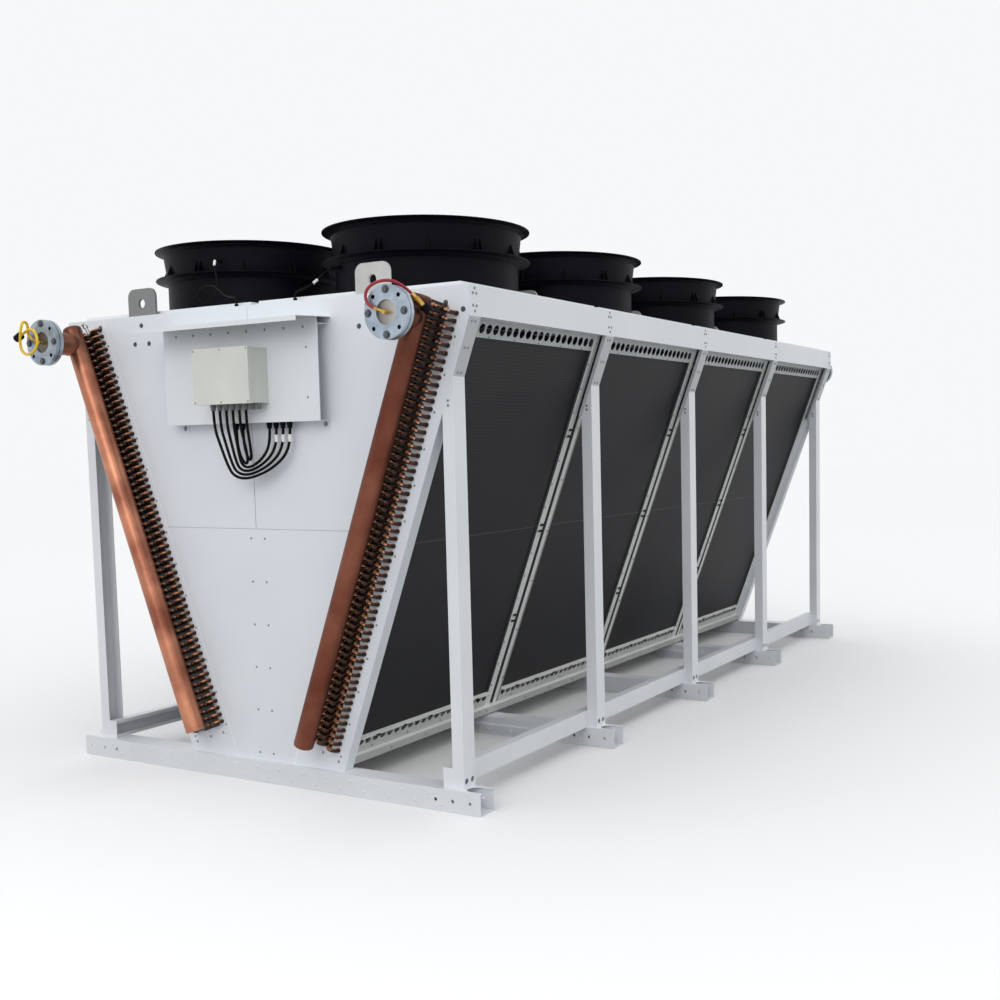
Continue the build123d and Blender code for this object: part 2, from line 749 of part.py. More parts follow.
def control_box():
    """A moulded box with a lid that stands a little proud of its body."""
    back = -END_Y - PLATE_STANDOFF
    x0, x1 = BOX_CENTRE_X - BOX_WIDTH / 2, BOX_CENTRE_X + BOX_WIDTH / 2
    high = BOX_LOW_Z + BOX_HEIGHT
    body = block(x0, x1, back - BOX_DEPTH + BOX_LID, back, BOX_LOW_Z, high)
    lid = block(
        x0 - BOX_LID_LIP,
        x1 + BOX_LID_LIP,
        back - BOX_DEPTH,
        back - BOX_DEPTH + BOX_LID,
        BOX_LOW_Z - BOX_LID_LIP,
        high + BOX_LID_LIP,
    )
    return body + lid


def gland():
    """A cable gland hanging from z = 0: a hexagon nut and a round dome."""
    nut = extrude(RegularPolygon(GLAND_NUT_R, 6), -GLAND_LENGTH / 2)
    dome = Pos(0, 0, -GLAND_LENGTH / 2) * Cylinder(GLAND_R, GLAND_LENGTH)
    return nut + dome


def box_glands():
    y = -END_Y - BOX_GLAND_Y
    return [Pos(BOX_GLAND_X + k * GLAND_PITCH, y, BOX_LOW_Z) * gland() for k in range(BOX_GLANDS)]


def plate_glands():
    y = -END_Y - PLATE_GLAND_Y
    return [Pos(PLATE_GLAND_X + k * GLAND_PITCH, y, PLATE_LOW_Z) * gland() for k in PLATE_GLAND_STEPS]


# Cables and hoses


def cord(route, diameter):
    """A round cord along straight runs, each corner rounded as far as its runs allow."""
    points = [Vector(*point) for point in route]
    runs = [after - before for before, after in zip(points, points[1:])]
    radii = []
    for run, following in zip(runs, runs[1:]):
        turn = math.radians(run.get_angle(following))
        radii.append(0.45 * min(run.length, following.length) / math.tan(turn / 2))
    path = FilletPolyline(*points, radius=radii)
    tube = sweep(Plane(points[0], z_dir=runs[0]).location * Circle(diameter / 2), path=path)
    section = math.pi * diameter**2 / 4
    print(f"cord {path.length:.0f} long, radii", *[f"{radius:.0f}" for radius in radii])
    print(f"  volume over section times length {tube.volume / section / path.length:.4f}")
    return tube


def box_cable_route(k):
    """From a box gland down into a hanging loop; the last two turn back behind, the others cross over."""
    x0 = BOX_GLAND_X + k * GLAND_PITCH
    x1 = PLATE_GLAND_X + (3, 2, 1, 0, -5, -4)[k] * GLAND_PITCH
    y0, y1 = -END_Y - BOX_GLAND_Y, -END_Y - PLATE_GLAND_Y
    top, end = BOX_LOW_Z - GLAND_LENGTH, PLATE_LOW_Z - GLAND_LENGTH
    foot = BOX_CENTRE_X + BOX_LOOP_STEP * (1.3 * k - 3)
    low = PLATE_LOW_Z - BOX_LOOP_DROP + k * BOX_LOOP_STEP
    back = BOX_CABLE_BACK if x1 < foot else -1
    route = [(x0, y0, top)]
    for along, down in ((0.02, 0.25), (0.4, 0.52), (0.82, 0.8)):
        route.append((x0 + along * (foot - x0), y0 + back * along, top - down * (top - low)))
    for along, up in ((0.05, 0.05), (0.24, -0.02), (0.48, 0.06), (0.72, 0.22), (0.92, 0.46)):
        y = y0 + back + (y1 - y0 - back) * along
        route.append((foot + along * (x1 - foot), y, low + up * (end - low)))
    return route + [(x1, y1, low + 0.76 * (end - low)), (x1, y1, end)]


def duct_point(side, bearing, radius, z):
    """A place round the first fan on a side, the bearing measured from straight ahead."""
    angle = math.radians(bearing)
    return side * FAN_X + radius * math.sin(angle), BAY_CENTRES[0] - radius * math.cos(angle), z


LEFT_CABLE_BEARING = 22.2
LEFT_CABLE_RISE = 52.0
RIGHT_CABLE_BEARING = -31.0
RIGHT_CABLE_RISE = -40.0
BOSS_SEAT = 6.0
DECK_BOSS_Y = 22.5
LEFT_DECK_X = -86.0
RIGHT_DECK_X = 276.0


def left_fan_cable_route():
    z = MID_LIP_Z + LEFT_CABLE_RISE
    start = DUCT_R + BOSS_SEAT + BOSS_LENGTH
    deck, y = CASING_TOP + BOSS_LENGTH, -END_Y + DECK_BOSS_Y
    near = [duct_point(-1, LEFT_CABLE_BEARING, start + step, z + rise) for step, rise in ((0, 0), (24, 0), (50, -6))]
    x = near[-1][0]
    return near + [
        (x + 8, y + 142, z - 30),
        (x + 28, y + 130, z - 66),
        (x + 40, y + 125, z - 106),
        (x + 48, y + 120, z - 140),
        (x + 38, y + 115, z - 178),
        (x + 1, y + 110, z - 205),
        (x - 41, y + 105, z - 214),
        (x - 66, y + 100, z - 186),
        (x - 54, y + 95, z - 154),
        (x - 7, y + 90, z - 134),
        (x + 57, y + 80, z - 137),
        (x + 115, y + 60, z - 166),
        (x + 170, y + 38, z - 196),
        (LEFT_DECK_X - 64, y + 20, deck + 40),
        (LEFT_DECK_X - 43, y + 9, deck + 37),
        (LEFT_DECK_X - 15, y + 2, deck + 34),
        (LEFT_DECK_X, y, deck + 19),
        (LEFT_DECK_X, y, deck),
    ]


def right_fan_cable_route():
    z = MID_LIP_Z + RIGHT_CABLE_RISE
    start = DUCT_R + BOSS_LENGTH
    deck, y = CASING_TOP + BOSS_LENGTH, -END_Y + DECK_BOSS_Y
    near = [duct_point(1, RIGHT_CABLE_BEARING, start + step, z + rise) for step, rise in ((0, 0), (26, 0), (60, -22))]
    x = near[-1][0]
    return near + [
        (x - 8, y + 150, z - 54),
        (x - 14, y + 104, z - 88),
        (x - 20, y + 56, z - 112),
        (x - 22, y + 16, z - 124),
        (RIGHT_DECK_X, y, deck + 18),
        (RIGHT_DECK_X, y, deck),
    ]


ROD_END = (
    -VENT_ROD * math.cos(math.radians(VENT_ROD_RISE)),
    0,
    VENT_ROD * math.sin(math.radians(VENT_ROD_RISE)),
)


def hose_point(side, dx=0, dy=0, dz=0):
    """A place given by steps from the vent nipple on a front flange."""
    point = header_point(STUB_Z)
    return Vector(side * point.X + dx, -END_Y - FLANGE_FACE - VENT_ROD_OUT + dy, point.Z + dz)


def right_hose_route():
    """From the right flange's outlet round over the flange to the cap beside the stub."""
    steps = [
        ROD_END, (-62, 0, 22.6), (-80, -2, 36), (-91, -4, 62), (-84, -3, 92), (-60, 3, 113), (-30, 17, 126),
        (0, 41, 129), (22, 69, 118), (38, 97, 100), (48, 119, 80), (61, 139, 58), (76, 159, 34),
    ]
    return [hose_point(1, *step) for step in steps]


def left_hose_route():
    """From the left flange's outlet up and over into one round loop to the cap at its free end."""
    steps = [
        ROD_END, (-62, -1, 22.6), (-71, -6, 38), (-69, -11, 56), (-62, -14, 74), (-54, -26, 98), (-53, -50, 98),
        (-58, -56, 66), (-68, -54, 32), (-78, -50, -4), (-74, -47, -38), (-44, -45, -60), (-2, -43, -56),
        (31, -41, -28), (38, -39, 12), (20, -37, 46), (-10, -35, 62), (-38, -33, 60), (-62, -32, 50), (-93, -32, 36),
    ]
    return [hose_point(-1, *step) for step in steps]


def cable_bosses():
    """The bosses that the fan cables leave from on the ducts and enter on the deck."""
    bosses = []
    for side, bearing, rise, seat, x in (
        (-1, LEFT_CABLE_BEARING, LEFT_CABLE_RISE, BOSS_SEAT, LEFT_DECK_X),
        (1, RIGHT_CABLE_BEARING, RIGHT_CABLE_RISE, 0, RIGHT_DECK_X),
    ):
        inner = Vector(*duct_point(side, bearing, DUCT_R + seat - DUCT_WALL / 2, MID_LIP_Z + rise))
        outer = Vector(*duct_point(side, bearing, DUCT_R + seat + BOSS_LENGTH, MID_LIP_Z + rise))
        reach = (outer - inner).length
        boss = Plane(inner, z_dir=outer - inner).location * Pos(0, 0, reach / 2) * Cylinder(BOSS_R, reach)
        cut = boss - Pos(side * FAN_X, BAY_CENTRES[0], 0) * duct()
        bosses += [cut, Pos(x, -END_Y + DECK_BOSS_Y, CASING_TOP + BOSS_LENGTH / 2) * Cylinder(BOSS_R, BOSS_LENGTH)]
    return bosses


def save(name, shapes):
    solids = [solid for shape in shapes for solid in shape.solids()]
    export_step(Compound(children=solids) if len(solids) > 1 else solids[0], f"parts/{name}.step")


os.makedirs("parts", exist_ok=True)

save("crossbeams", crossbeams())
save("base_rails", base_rails())
save("posts", posts())
save("arms", arms())

save("coils", coils())
save("frame_strips", frame_strips())
save("baffles", baffles())
save("sills", sills())
save("foot_strips", foot_strips())
save("top_strips", top_strips())
save("end_plates_front", end_plates())
save("end_plates_rear", [flip_y(shape) for shape in end_plates()])
save("upper_panels_front", upper_panels())
save("upper_panels_rear", [flip_y(shape) for shape in upper_panels()])
save("lower_panel_front", [lower_panel()])
save("lower_panel_rear", [flip_y(lower_panel())])
save("side_bands", side_bands())
save("deck_plates", deck_plates())
save("fan_plates", fan_plates())
save("floor_sheet", [floor_sheet()])

for side, k, x, y in fan_places():
    save(f"fan_duct_{'left' if side < 0 else 'right'}_{k + 1}", [Pos(x, y, 0) * duct()])
save("fan_guards", [Pos(x, y, 0) * bar for _, _, x, y in fan_places() for bar in guard()])
save("fan_motors", [Pos(x, y, 0) * motor() for _, _, x, y in fan_places()])
save("fan_rotors", [Pos(x, y, 0) * rotor() for _, _, x, y in fan_places()])
save("fan_blades", [Pos(x, y, 0) * blade for _, _, x, y in fan_places() for blade in blades()])
save("lifting_lugs", lugs())

save("headers", headers())
save("back_flanges", back_flanges())
save("front_flanges", front_flanges())
save("flange_plugs", flange_plugs())
save("vent_caps", vent_caps())
save("return_bends_front", return_bends())
save("return_bends_rear", [flip_y(shape) for shape in return_bends()])

save("control_plate", [control_plate()])
save("rain_hood", [rain_hood()])
save("control_box", [control_box()])
save("box_glands", box_glands())
save("plate_glands", plate_glands())
save("cable_bosses", cable_bosses())

for k in range(BOX_CABLES):
    save(f"box_cable_{k + 1}", [cord(box_cable_route(k), BOX_CABLE_D)])
save("fan_cable_left", [cord(left_fan_cable_route(), FAN_CABLE_D)])
save("fan_cable_right", [cord(right_fan_cable_route(), FAN_CABLE_D)])
save("vent_hose_left", [cord(left_hose_route(), HOSE_D)])
save("vent_hose_right", [cord(right_hose_route(), HOSE_D)])
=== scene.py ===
"""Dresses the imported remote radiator: camera, finishes, cables and hoses, fasteners and a plain studio."""

import math

import bpy
from mathutils import Matrix, Vector


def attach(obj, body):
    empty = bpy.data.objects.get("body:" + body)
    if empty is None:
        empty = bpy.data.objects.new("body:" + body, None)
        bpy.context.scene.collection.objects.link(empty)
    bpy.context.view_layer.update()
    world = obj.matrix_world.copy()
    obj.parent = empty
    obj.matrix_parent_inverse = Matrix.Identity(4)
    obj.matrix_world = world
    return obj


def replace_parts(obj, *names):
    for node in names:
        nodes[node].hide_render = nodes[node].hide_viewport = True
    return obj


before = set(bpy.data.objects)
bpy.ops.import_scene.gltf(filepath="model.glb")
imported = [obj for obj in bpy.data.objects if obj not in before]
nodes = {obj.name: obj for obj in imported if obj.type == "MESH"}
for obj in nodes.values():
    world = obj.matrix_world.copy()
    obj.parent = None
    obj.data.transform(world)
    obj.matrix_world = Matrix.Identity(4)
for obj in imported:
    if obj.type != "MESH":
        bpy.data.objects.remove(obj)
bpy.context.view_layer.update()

# Camera, fitted to the photo
CAMERA_PLACE = (4.0279, -6.6587, 1.5854)
CAMERA_YAW = 0.5090
CAMERA_PITCH = -0.0829
CAMERA_ROLL = -0.0201
LENS = 42.78
SENSOR = 36.0
SHIFT_X = -0.0744
SHIFT_Y = 0.0413
VIEW_REACH = 200

# Casing, frame and coils in metres, as in the part's source
BAY = 1.242
END_Y = 2.5125
TOP_HALF = 1.237
FOOT_HALF = 0.481
CASING_TOP = 2.25
BAND_Z = 2.12
BEAM_HEIGHT = 0.1
BEAM_HALF = 0.055
POST_DEPTH = 0.088
FRAME_RECESS = 0.045
SILL_HEIGHT = 0.044
SILL_RECESS = 0.024
COIL_LOW = 0.127
PANEL_SEAM_Z = 1.21

# Fans
FAN_X = 0.563
DUCT_R = 0.44
MID_LIP_Z = 2.462
GUARD_FIRST_R = 0.06
GUARD_PITCH = 0.0245
GUARD_RINGS = 16
GUARD_WIRE_R = 0.0018
RIB_COUNT = 12
RIB_TURN = 0.12
RIB_PAIR = 0.012

# Headers, stubs, flanges and feeders
STUB_Z = 2.12
STUB_R = 0.054
FLANGE_FACE = 0.31
FLANGE_DEPTH = 0.04
FLANGE_PCD_R = 0.09
HEADER_INSET = 0.178
HEADER_STANDOFF = 0.11
HEADER_LOW_Z = 0.24
HEADER_TOP_Z = 2.198
HEADER_R = 0.046
HEADER_GROOVE_R = 0.0448
FEEDER_INSET = 0.153
FEEDER_R = 0.0052

# Return bends, by depth into the coil and rise up its slope
BEND_COLUMNS = (0.087, 0.156, 0.225)
BEND_ROWS = 60
BEND_PITCH = 0.035
BEND_START = 0.082
BEND_HALF = 0.025
BEND_LEG = 0.008
BEND_R = 0.0092
BELL_R = 0.0112

# Control plate, box, glands and cables
PLATE_LOW_Z = 1.705
PLATE_STANDOFF = 0.07
BOX_LOW_Z = 1.793
BOX_HEIGHT = 0.247
BOX_DEPTH = 0.125
BOX_CENTRE_X = 0.009
GLAND_PITCH = 0.041
GLAND_LENGTH = 0.028
BOX_GLAND_OUT = 0.105
PLATE_GLAND_OUT = 0.035
PLATE_GLAND_X = 0.143
PLATE_GLAND_OF_CABLE = (3, 2, 1, 0, -5, -4)
BOX_CABLE_D = 0.013
LOOP_DROP = 0.253
LOOP_PITCH = 0.017
TAG_Z = 1.632

# Fan cables and hoses; a boss has its bearing, its distance from the fan and its height over the mid lip
FAN_CABLE_D = 0.008
LEFT_BOSS = (22.2, 0.46, 0.052)
RIGHT_BOSS = (-31, 0.454, -0.04)
DECK_BOSS_INSET = 0.0225
DECK_BOSS_HEIGHT = 0.014
LEFT_DECK_BOSS_X = -0.086
RIGHT_DECK_BOSS_X = 0.276
HOSE_D = 0.013
NIPPLE_REACH = 0.011
OUTLET_MM = 52
OUTLET_RISE = math.radians(20)

# Fasteners on the end panels
PANEL_SCREW_DEPTHS = (0.04, 0.268)
PANEL_SCREW_START = 0.06
PANEL_SCREW_PITCH = 0.166
PANEL_SCREW_COUNT = 13
LUG_BOLTS = ((0.704, 2.202), (0.754, 2.113), (0.656, 2.112))
CORNER_BOLTS = ((1.121, 2.18), (1.208, 2.147), (1.0, 2.209))
FOOT_RIVETS = ((0.45, 0.145), (0.359, 0.179), (0.272, 0.207))
MIDDLE_SCREW_REACH = 0.043
MIDDLE_SCREW_HEIGHTS = (0.137, 0.345, 0.55, 0.755, 0.96, 1.165)

# Fasteners on the sides; a row of strip screws has its place along y, first rise, pitch and count
RIVET_PAIR = (-0.013, 0.013)
ARM_RIVET_RISES = (1.91, 2.02, 2.135)
BAND_RIVETS = ((2.236, (0,)), (2.215, RIVET_PAIR), (2.163, RIVET_PAIR), (2.14, (0,)))
POST_RIVET_X = 1.118
POST_RIVET_HEIGHTS = (1.752, 1.772)
STRIP_SCREW_ROWS = ((-0.055, 0.17, 0.13, 15), (0.04, 0.2, 0.29, 7))
LEDGE_SCREW_PITCH = 0.28
LEDGE_SCREW_RISE = 0.014
CLIP_RISES = (0.572, 1.094, 1.622)
CLIP_PAIR = (-0.0175, 0.0175)
CLIP_Y = -0.034
NICK_PITCH = 0.21
NICK_DEPTH = 0.025
NICK_DROP = 0.004
TOP_NICK_RISE = 2.065
TOP_NICK_SHIFT = 0.03
TOP_NICK_SCALE = 0.35
BEAM_RIVET_START = -1.044
BEAM_RIVET_PITCH = 0.072
BEAM_RIVET_COUNT = 30
BEAM_RIVET_HEIGHTS = (0.072, 0.03)

# Fasteners on the control plate and the box lid
PLATE_SCREW_START = -0.393
PLATE_SCREW_PITCH = 0.1127
PLATE_SCREW_COUNT = 8
PLATE_SCREW_Z = 2.121
PLATE_EDGE_SCREW_X = 0.411
PLATE_EDGE_SCREW_HEIGHTS = (1.81, 2.031)
LID_SCREW_XS = (-0.163, 0.0, 0.163)
LID_SCREW_EDGE = 0.006
TAB_XS = (-0.43, 0.45)
TAB_THICK = 0.004
TAB_BOLT_DROP = 0.015
RIM_LOW_Z = 2.1335
RIM_SEAT = 0.0008

# Places worked out from the sizes above
LEAN = math.atan((TOP_HALF - FOOT_HALF) / (BAND_Z - BEAM_HEIGHT))
COS, SIN = math.cos(LEAN), math.sin(LEAN)
SIDES = (-1, 1)
FRONT = Vector((0, -1, 0))
BACK = Vector((0, 1, 0))
ENDS = ((-1, FRONT), (1, BACK))
FRAME_LINES = [(k - 2) * BAY for k in range(5)]
POST_LINES = [-END_Y + POST_DEPTH / 2] + FRAME_LINES[1:-1] + [END_Y - POST_DEPTH / 2]
BAY_CENTRES = [(k - 1.5) * BAY for k in range(4)]
FANS = [(side * FAN_X, y) for side in SIDES for y in BAY_CENTRES]


def lean(depth, y, up, side):
    """A point on a leaning side: depth inward of its face, up the slope from its foot."""
    x = FOOT_HALF + up * SIN - depth * COS
    return Vector((side * x, y, BEAM_HEIGHT + up * COS + depth * SIN))


def side_x(z, inset):
    """How far out a leaning side is at a height, measured inset from its face."""
    return FOOT_HALF + (z - BEAM_HEIGHT) * SIN / COS - inset / COS


def outward(side):
    """The way that a leaning face looks."""
    return Vector((side * COS, 0, -SIN))


def upslope(side):
    """The way up a leaning face."""
    return Vector((side * SIN, 0, COS))


def link(thing):
    bpy.context.scene.collection.objects.link(thing)


FLANGE_X = side_x(STUB_Z, HEADER_INSET)


# Camera


def add_camera():
    """The photo's camera, turned by its yaw, then its pitch, then its roll."""
    level = Vector((-math.sin(CAMERA_YAW), math.cos(CAMERA_YAW), 0))
    across = Vector((math.cos(CAMERA_YAW), math.sin(CAMERA_YAW), 0))
    plumb = Vector((0, 0, 1))
    forward = math.cos(CAMERA_PITCH) * level + math.sin(CAMERA_PITCH) * plumb
    above = math.cos(CAMERA_PITCH) * plumb - math.sin(CAMERA_PITCH) * level
    right = math.cos(CAMERA_ROLL) * across + math.sin(CAMERA_ROLL) * above
    up = math.cos(CAMERA_ROLL) * above - math.sin(CAMERA_ROLL) * across
    data = bpy.data.cameras.new("photo_camera")
    data.lens = LENS
    data.sensor_width = SENSOR
    data.shift_x = SHIFT_X
    data.shift_y = SHIFT_Y
    data.clip_end = VIEW_REACH
    camera = bpy.data.objects.new("photo_camera", data)
    turn = Matrix((right, up, -forward)).transposed().to_4x4()
    camera.matrix_world = Matrix.Translation(CAMERA_PLACE) @ turn
    link(camera)
    bpy.context.scene.camera = camera


add_camera()


# Finishes

MOTTLE_DETAIL = 6
MOTTLE_SPREAD = (0.32, 0.68)
GRAIN_DEPTH = 0.001
MIX_FACTOR, MIX_FIRST, MIX_SECOND, MIX_RESULT = 0, 6, 7, 2


def tone(red, green, blue):
    """A colour given as it looks on screen, turned into scene values."""
    parts = [value / 255 for value in (red, green, blue)]
    return [p / 12.92 if p <= 0.04045 else ((p + 0.055) / 1.055) ** 2.4 for p in parts] + [1.0]


class Finish:
    """A procedural material with two mottled tones and a fine surface grain."""

    def __init__(
        self, name, light, dark, rough, metal=0.0, gloss=0.5, size=3.0, grain=0.0, grain_size=400.0
    ):
        self.material = bpy.data.materials.new(name)
        self.material.use_nodes = True
        self.tree = self.material.node_tree
        self.shader = self.tree.nodes["Principled BSDF"].inputs
        self.shader["Roughness"].default_value = rough
        self.shader["Metallic"].default_value = metal
        self.shader["Specular IOR Level"].default_value = gloss
        self.place = self.node("ShaderNodeTexCoord").outputs["Object"]
        self.colour = tone(*dark)
        self.recolour(self.ramp(self.noise(size, MOTTLE_DETAIL), *MOTTLE_SPREAD), tone(*light))
        if grain:
            bump = self.node("ShaderNodeBump")
            bump.inputs["Strength"].default_value = grain
            bump.inputs["Distance"].default_value = GRAIN_DEPTH
            self.feed(bump.inputs["Height"], self.noise(grain_size))
            self.feed(self.shader["Normal"], bump.outputs["Normal"])

    def node(self, kind):
        return self.tree.nodes.new(kind)

    def feed(self, socket, value):
        """Gives a socket a plain value, or a link from another socket."""
        if isinstance(value, bpy.types.NodeSocket):
            self.tree.links.new(value, socket)
        else:
            socket.default_value = value

    def noise(self, size, detail=2.0):
        texture = self.node("ShaderNodeTexNoise")
        texture.inputs["Scale"].default_value = size
        texture.inputs["Detail"].default_value = detail
        self.feed(texture.inputs["Vector"], self.place)
        return texture.outputs["Fac"]

    def mix(self, factor, first, second):
        """Blends two colours, each a value or a socket."""
        mixer = self.node("ShaderNodeMix")
        mixer.data_type = "RGBA"
        self.feed(mixer.inputs[MIX_FACTOR], factor)
        self.feed(mixer.inputs[MIX_FIRST], first)
        self.feed(mixer.inputs[MIX_SECOND], second)
        return mixer.outputs[MIX_RESULT]

    def recolour(self, factor, colour):
        """Lays a colour over the finish where the factor is 1."""
        self.colour = self.mix(factor, self.colour, colour)
        self.feed(self.shader["Base Color"], self.colour)

    def calculate(self, operation, *values):
        step = self.node("ShaderNodeMath")
        step.operation = operation
        for socket, value in zip(step.inputs, values):
            self.feed(socket, value)
        return step.outputs[0]

    def times(self, first, second):
        return self.calculate("MULTIPLY", first, second)

    def absolute(self, value):
        return self.calculate("ABSOLUTE", value)

    def sum(self, *terms):
        """Adds up pairs of a socket or number and its factor."""
        total = 0.0
        for value, factor in terms:
            total = self.calculate("MULTIPLY_ADD", value, factor, total)
        return total

    def ramp(self, value, low, high):
        """0 at low, 1 at high, and level beyond both."""
        step = self.node("ShaderNodeMapRange")
        step.inputs["From Min"].default_value = low
        step.inputs["From Max"].default_value = high
        self.feed(step.inputs["Value"], value)
        return step.outputs["Result"]

    def band(self, value, low, high, edge=0.0006):
        """1 between low and high, 0 outside."""
        return self.times(self.ramp(value, low - edge, low), self.ramp(value, high + edge, high))

    def split(self, vector):
        parts = self.node("ShaderNodeSeparateXYZ")
        self.feed(parts.inputs[0], vector)
        return parts.outputs

    def axes(self):
        """The place on the object, as X, Y and Z."""
        return self.split(self.place)

    def facing(self):
        """The way that the surface looks, as X, Y and Z."""
        return self.split(self.node("ShaderNodeNewGeometry").outputs["True Normal"])

    def depth(self):
        """How far a point lies inward of the leaning face."""
        axes = self.axes()
        width = self.absolute(axes["X"])
        return self.sum((width, -COS), (axes["Z"], SIN), (1.0, FOOT_HALF * COS - BEAM_HEIGHT * SIN))

    def rise(self):
        """How far a point lies up the slope from its foot."""
        axes = self.axes()
        width = self.absolute(axes["X"])
        return self.sum((width, SIN), (axes["Z"], COS), (1.0, -FOOT_HALF * SIN - BEAM_HEIGHT * COS))


def coat(name, light, dark, rough=0.42, size=1.4):
    """Powder coat: two near tones with a faint grain."""
    return Finish(name, light, dark, rough, size=size, grain=0.03)


CASING_TONES = (229, 232, 236), (222, 226, 231)
PANEL_TONES = (227, 231, 236), (220, 225, 231)
BRASS_TONES = (214, 176, 92), (176, 134, 58)

casing = coat("casing_paint", *CASING_TONES)
arm_paint = coat("arm_paint", *CASING_TONES)
hood_paint = coat("hood_paint", *CASING_TONES)
panels = coat("panel_paint", *PANEL_TONES)
tube_sheet = coat("tube_sheet_paint", *PANEL_TONES)
steel_paint = coat("frame_paint", (230, 233, 237), (221, 225, 229), size=2.0)
strips = coat("strip_paint", (224, 226, 224), (212, 215, 213), 0.5, 4.0)
ledges = coat("sill_paint", (232, 233, 232), (222, 223, 222), 0.5, 4.0)
top_paint = coat("top_strip_paint", (178, 183, 182), (166, 171, 170), 0.5, 4.0)

copper = Finish(
    "copper_tube", (208, 142, 112), (138, 80, 61), 0.36, metal=0.8, size=5.0, grain=0.04, grain_size=90
)
# The bends' dark base tones are painted shade from the close-packed bends round them.
bends = Finish("copper_bends", (64, 38, 30), (34, 22, 19), 0.24, metal=0.6, size=24.0)
zinc = Finish(
    "zinc_plate", (178, 190, 202), (140, 153, 166), 0.36, metal=0.75, size=16.0, grain=0.05, grain_size=160
)
bare = Finish(
    "lug_steel", (200, 200, 197), (182, 182, 180), 0.5, metal=0.3, size=9.0, grain=0.05, grain_size=240
)
brass = Finish("brass", *BRASS_TONES, 0.32, metal=0.9, size=40.0)
closing = Finish("closing_disc", *BRASS_TONES, 0.34, metal=0.8, size=40.0)
screw = Finish("zinc_screw", (150, 153, 157), (118, 121, 125), 0.4, metal=0.6, size=300.0)
bolt_grey = Finish("bolt_grey", (104, 108, 112), (78, 82, 86), 0.42, metal=0.6, size=120.0)
nickel = Finish("nickel", (206, 206, 202), (176, 176, 172), 0.3, metal=0.85, size=90.0)

# The fins' large soft mottle is painted light, for light seen through the fin packs; their dark tones are
# the fins' own.
fins = Finish("coil_fins", (32, 32, 34), (18, 18, 21), 0.55, gloss=0.2, size=0.9)
plastic = Finish("black_plastic", (10, 10, 19), (6, 6, 13), 0.5, gloss=0.08, grain=0.04, grain_size=220)
motor_black = Finish("motor_black", (34, 34, 36), (24, 24, 26), 0.5, size=8.0)
box_grey = Finish("box_grey", (214, 217, 209), (206, 209, 201), 0.45, size=5.0, grain=0.04, grain_size=300)
gland_grey = Finish("gland_grey", (128, 131, 131), (104, 107, 107), 0.45, size=40.0)
sheath = Finish("cable_sheath", (12, 12, 14), (7, 7, 8), 0.45, gloss=0.08, size=60.0)
red_hose = Finish("red_hose", (168, 34, 48), (138, 22, 36), 0.4, size=60.0)
yellow_hose = Finish("yellow_hose", (246, 204, 32), (226, 178, 18), 0.4, size=60.0)
dark = Finish("dark_recess", (28, 28, 29), (20, 20, 21), 0.7, size=40.0)
tag = Finish("white_tag", (242, 242, 240), (232, 232, 230), 0.5, size=80.0)


def line_fins():
    """Fine level lines across the fin faces, and one seam where two fin packs meet."""
    wave = fins.node("ShaderNodeTexWave")
    wave.wave_type = "BANDS"
    wave.bands_direction = "Z"
    wave.inputs["Scale"].default_value = 21.0
    wave.inputs["Distortion"].default_value = 0.25
    wave.inputs["Detail"].default_value = 2
    fins.feed(wave.inputs["Vector"], fins.place)
    lines = fins.ramp(wave.outputs["Fac"], 0.55, 1.0)
    fins.recolour(lines, fins.mix(0.18, fins.colour, tone(54, 54, 56)))
    seam_low, seam_high = 1.098, 1.102
    fins.recolour(fins.band(fins.rise(), seam_low, seam_high), tone(66, 66, 67))


def paint_tube_sheet_shade_and_highlight():
    """The tube sheet between the bends gets painted shade, and a painted highlight runs along the bright
    seam beside it.
    """
    shade_low, shade_high, shade_edge = 0.118, 0.222, 0.012
    foot, top = 0.066, 2.166
    seam_low, seam_high = 0.2832, 0.2862
    depth = tube_sheet.depth()
    across = tube_sheet.band(depth, shade_low, shade_high, shade_edge)
    along = tube_sheet.band(tube_sheet.rise(), foot, top)
    # Painted shade on the tube sheet between the bends.
    tube_sheet.recolour(tube_sheet.times(across, along), tone(44, 40, 38))
    # Painted highlight along the seam's edge.
    tube_sheet.recolour(tube_sheet.band(depth, seam_low, seam_high), tone(250, 251, 252))


def seam_panels():
    """The joints between the three end panels."""
    half = 0.0014
    axes = panels.axes()
    level = panels.band(axes["Z"], PANEL_SEAM_Z - half, PANEL_SEAM_Z + half)
    panels.recolour(level, tone(180, 185, 189))
    above = panels.band(axes["Z"], PANEL_SEAM_Z, PLATE_LOW_Z + 0.04)
    middle = panels.ramp(panels.absolute(axes["X"]), half + 0.001, half)
    panels.recolour(panels.times(middle, above), tone(184, 189, 193))


def darken_copper():
    """The right headers and all the tops are duller than the rest, and the feeders behind the headers get
    painted shade.
    """
    axes = copper.axes()
    right = copper.ramp(axes["X"], -0.1, 0.1)
    copper.recolour(right, copper.mix(0.74, copper.colour, tone(84, 35, 23)))
    upper_right = copper.times(right, copper.ramp(axes["Z"], 1.3, 2.0))
    copper.recolour(upper_right, copper.mix(0.4, copper.colour, tone(62, 24, 15)))
    tops = copper.ramp(axes["Z"], 2.0, 2.12)
    copper.recolour(tops, copper.mix(0.72, copper.colour, tone(74, 42, 34)))
    # Painted shade on the feeders behind the headers.
    behind = copper.ramp(copper.absolute(axes["Y"]), END_Y + 0.066, END_Y + 0.06)
    copper.recolour(behind, tone(62, 42, 35))


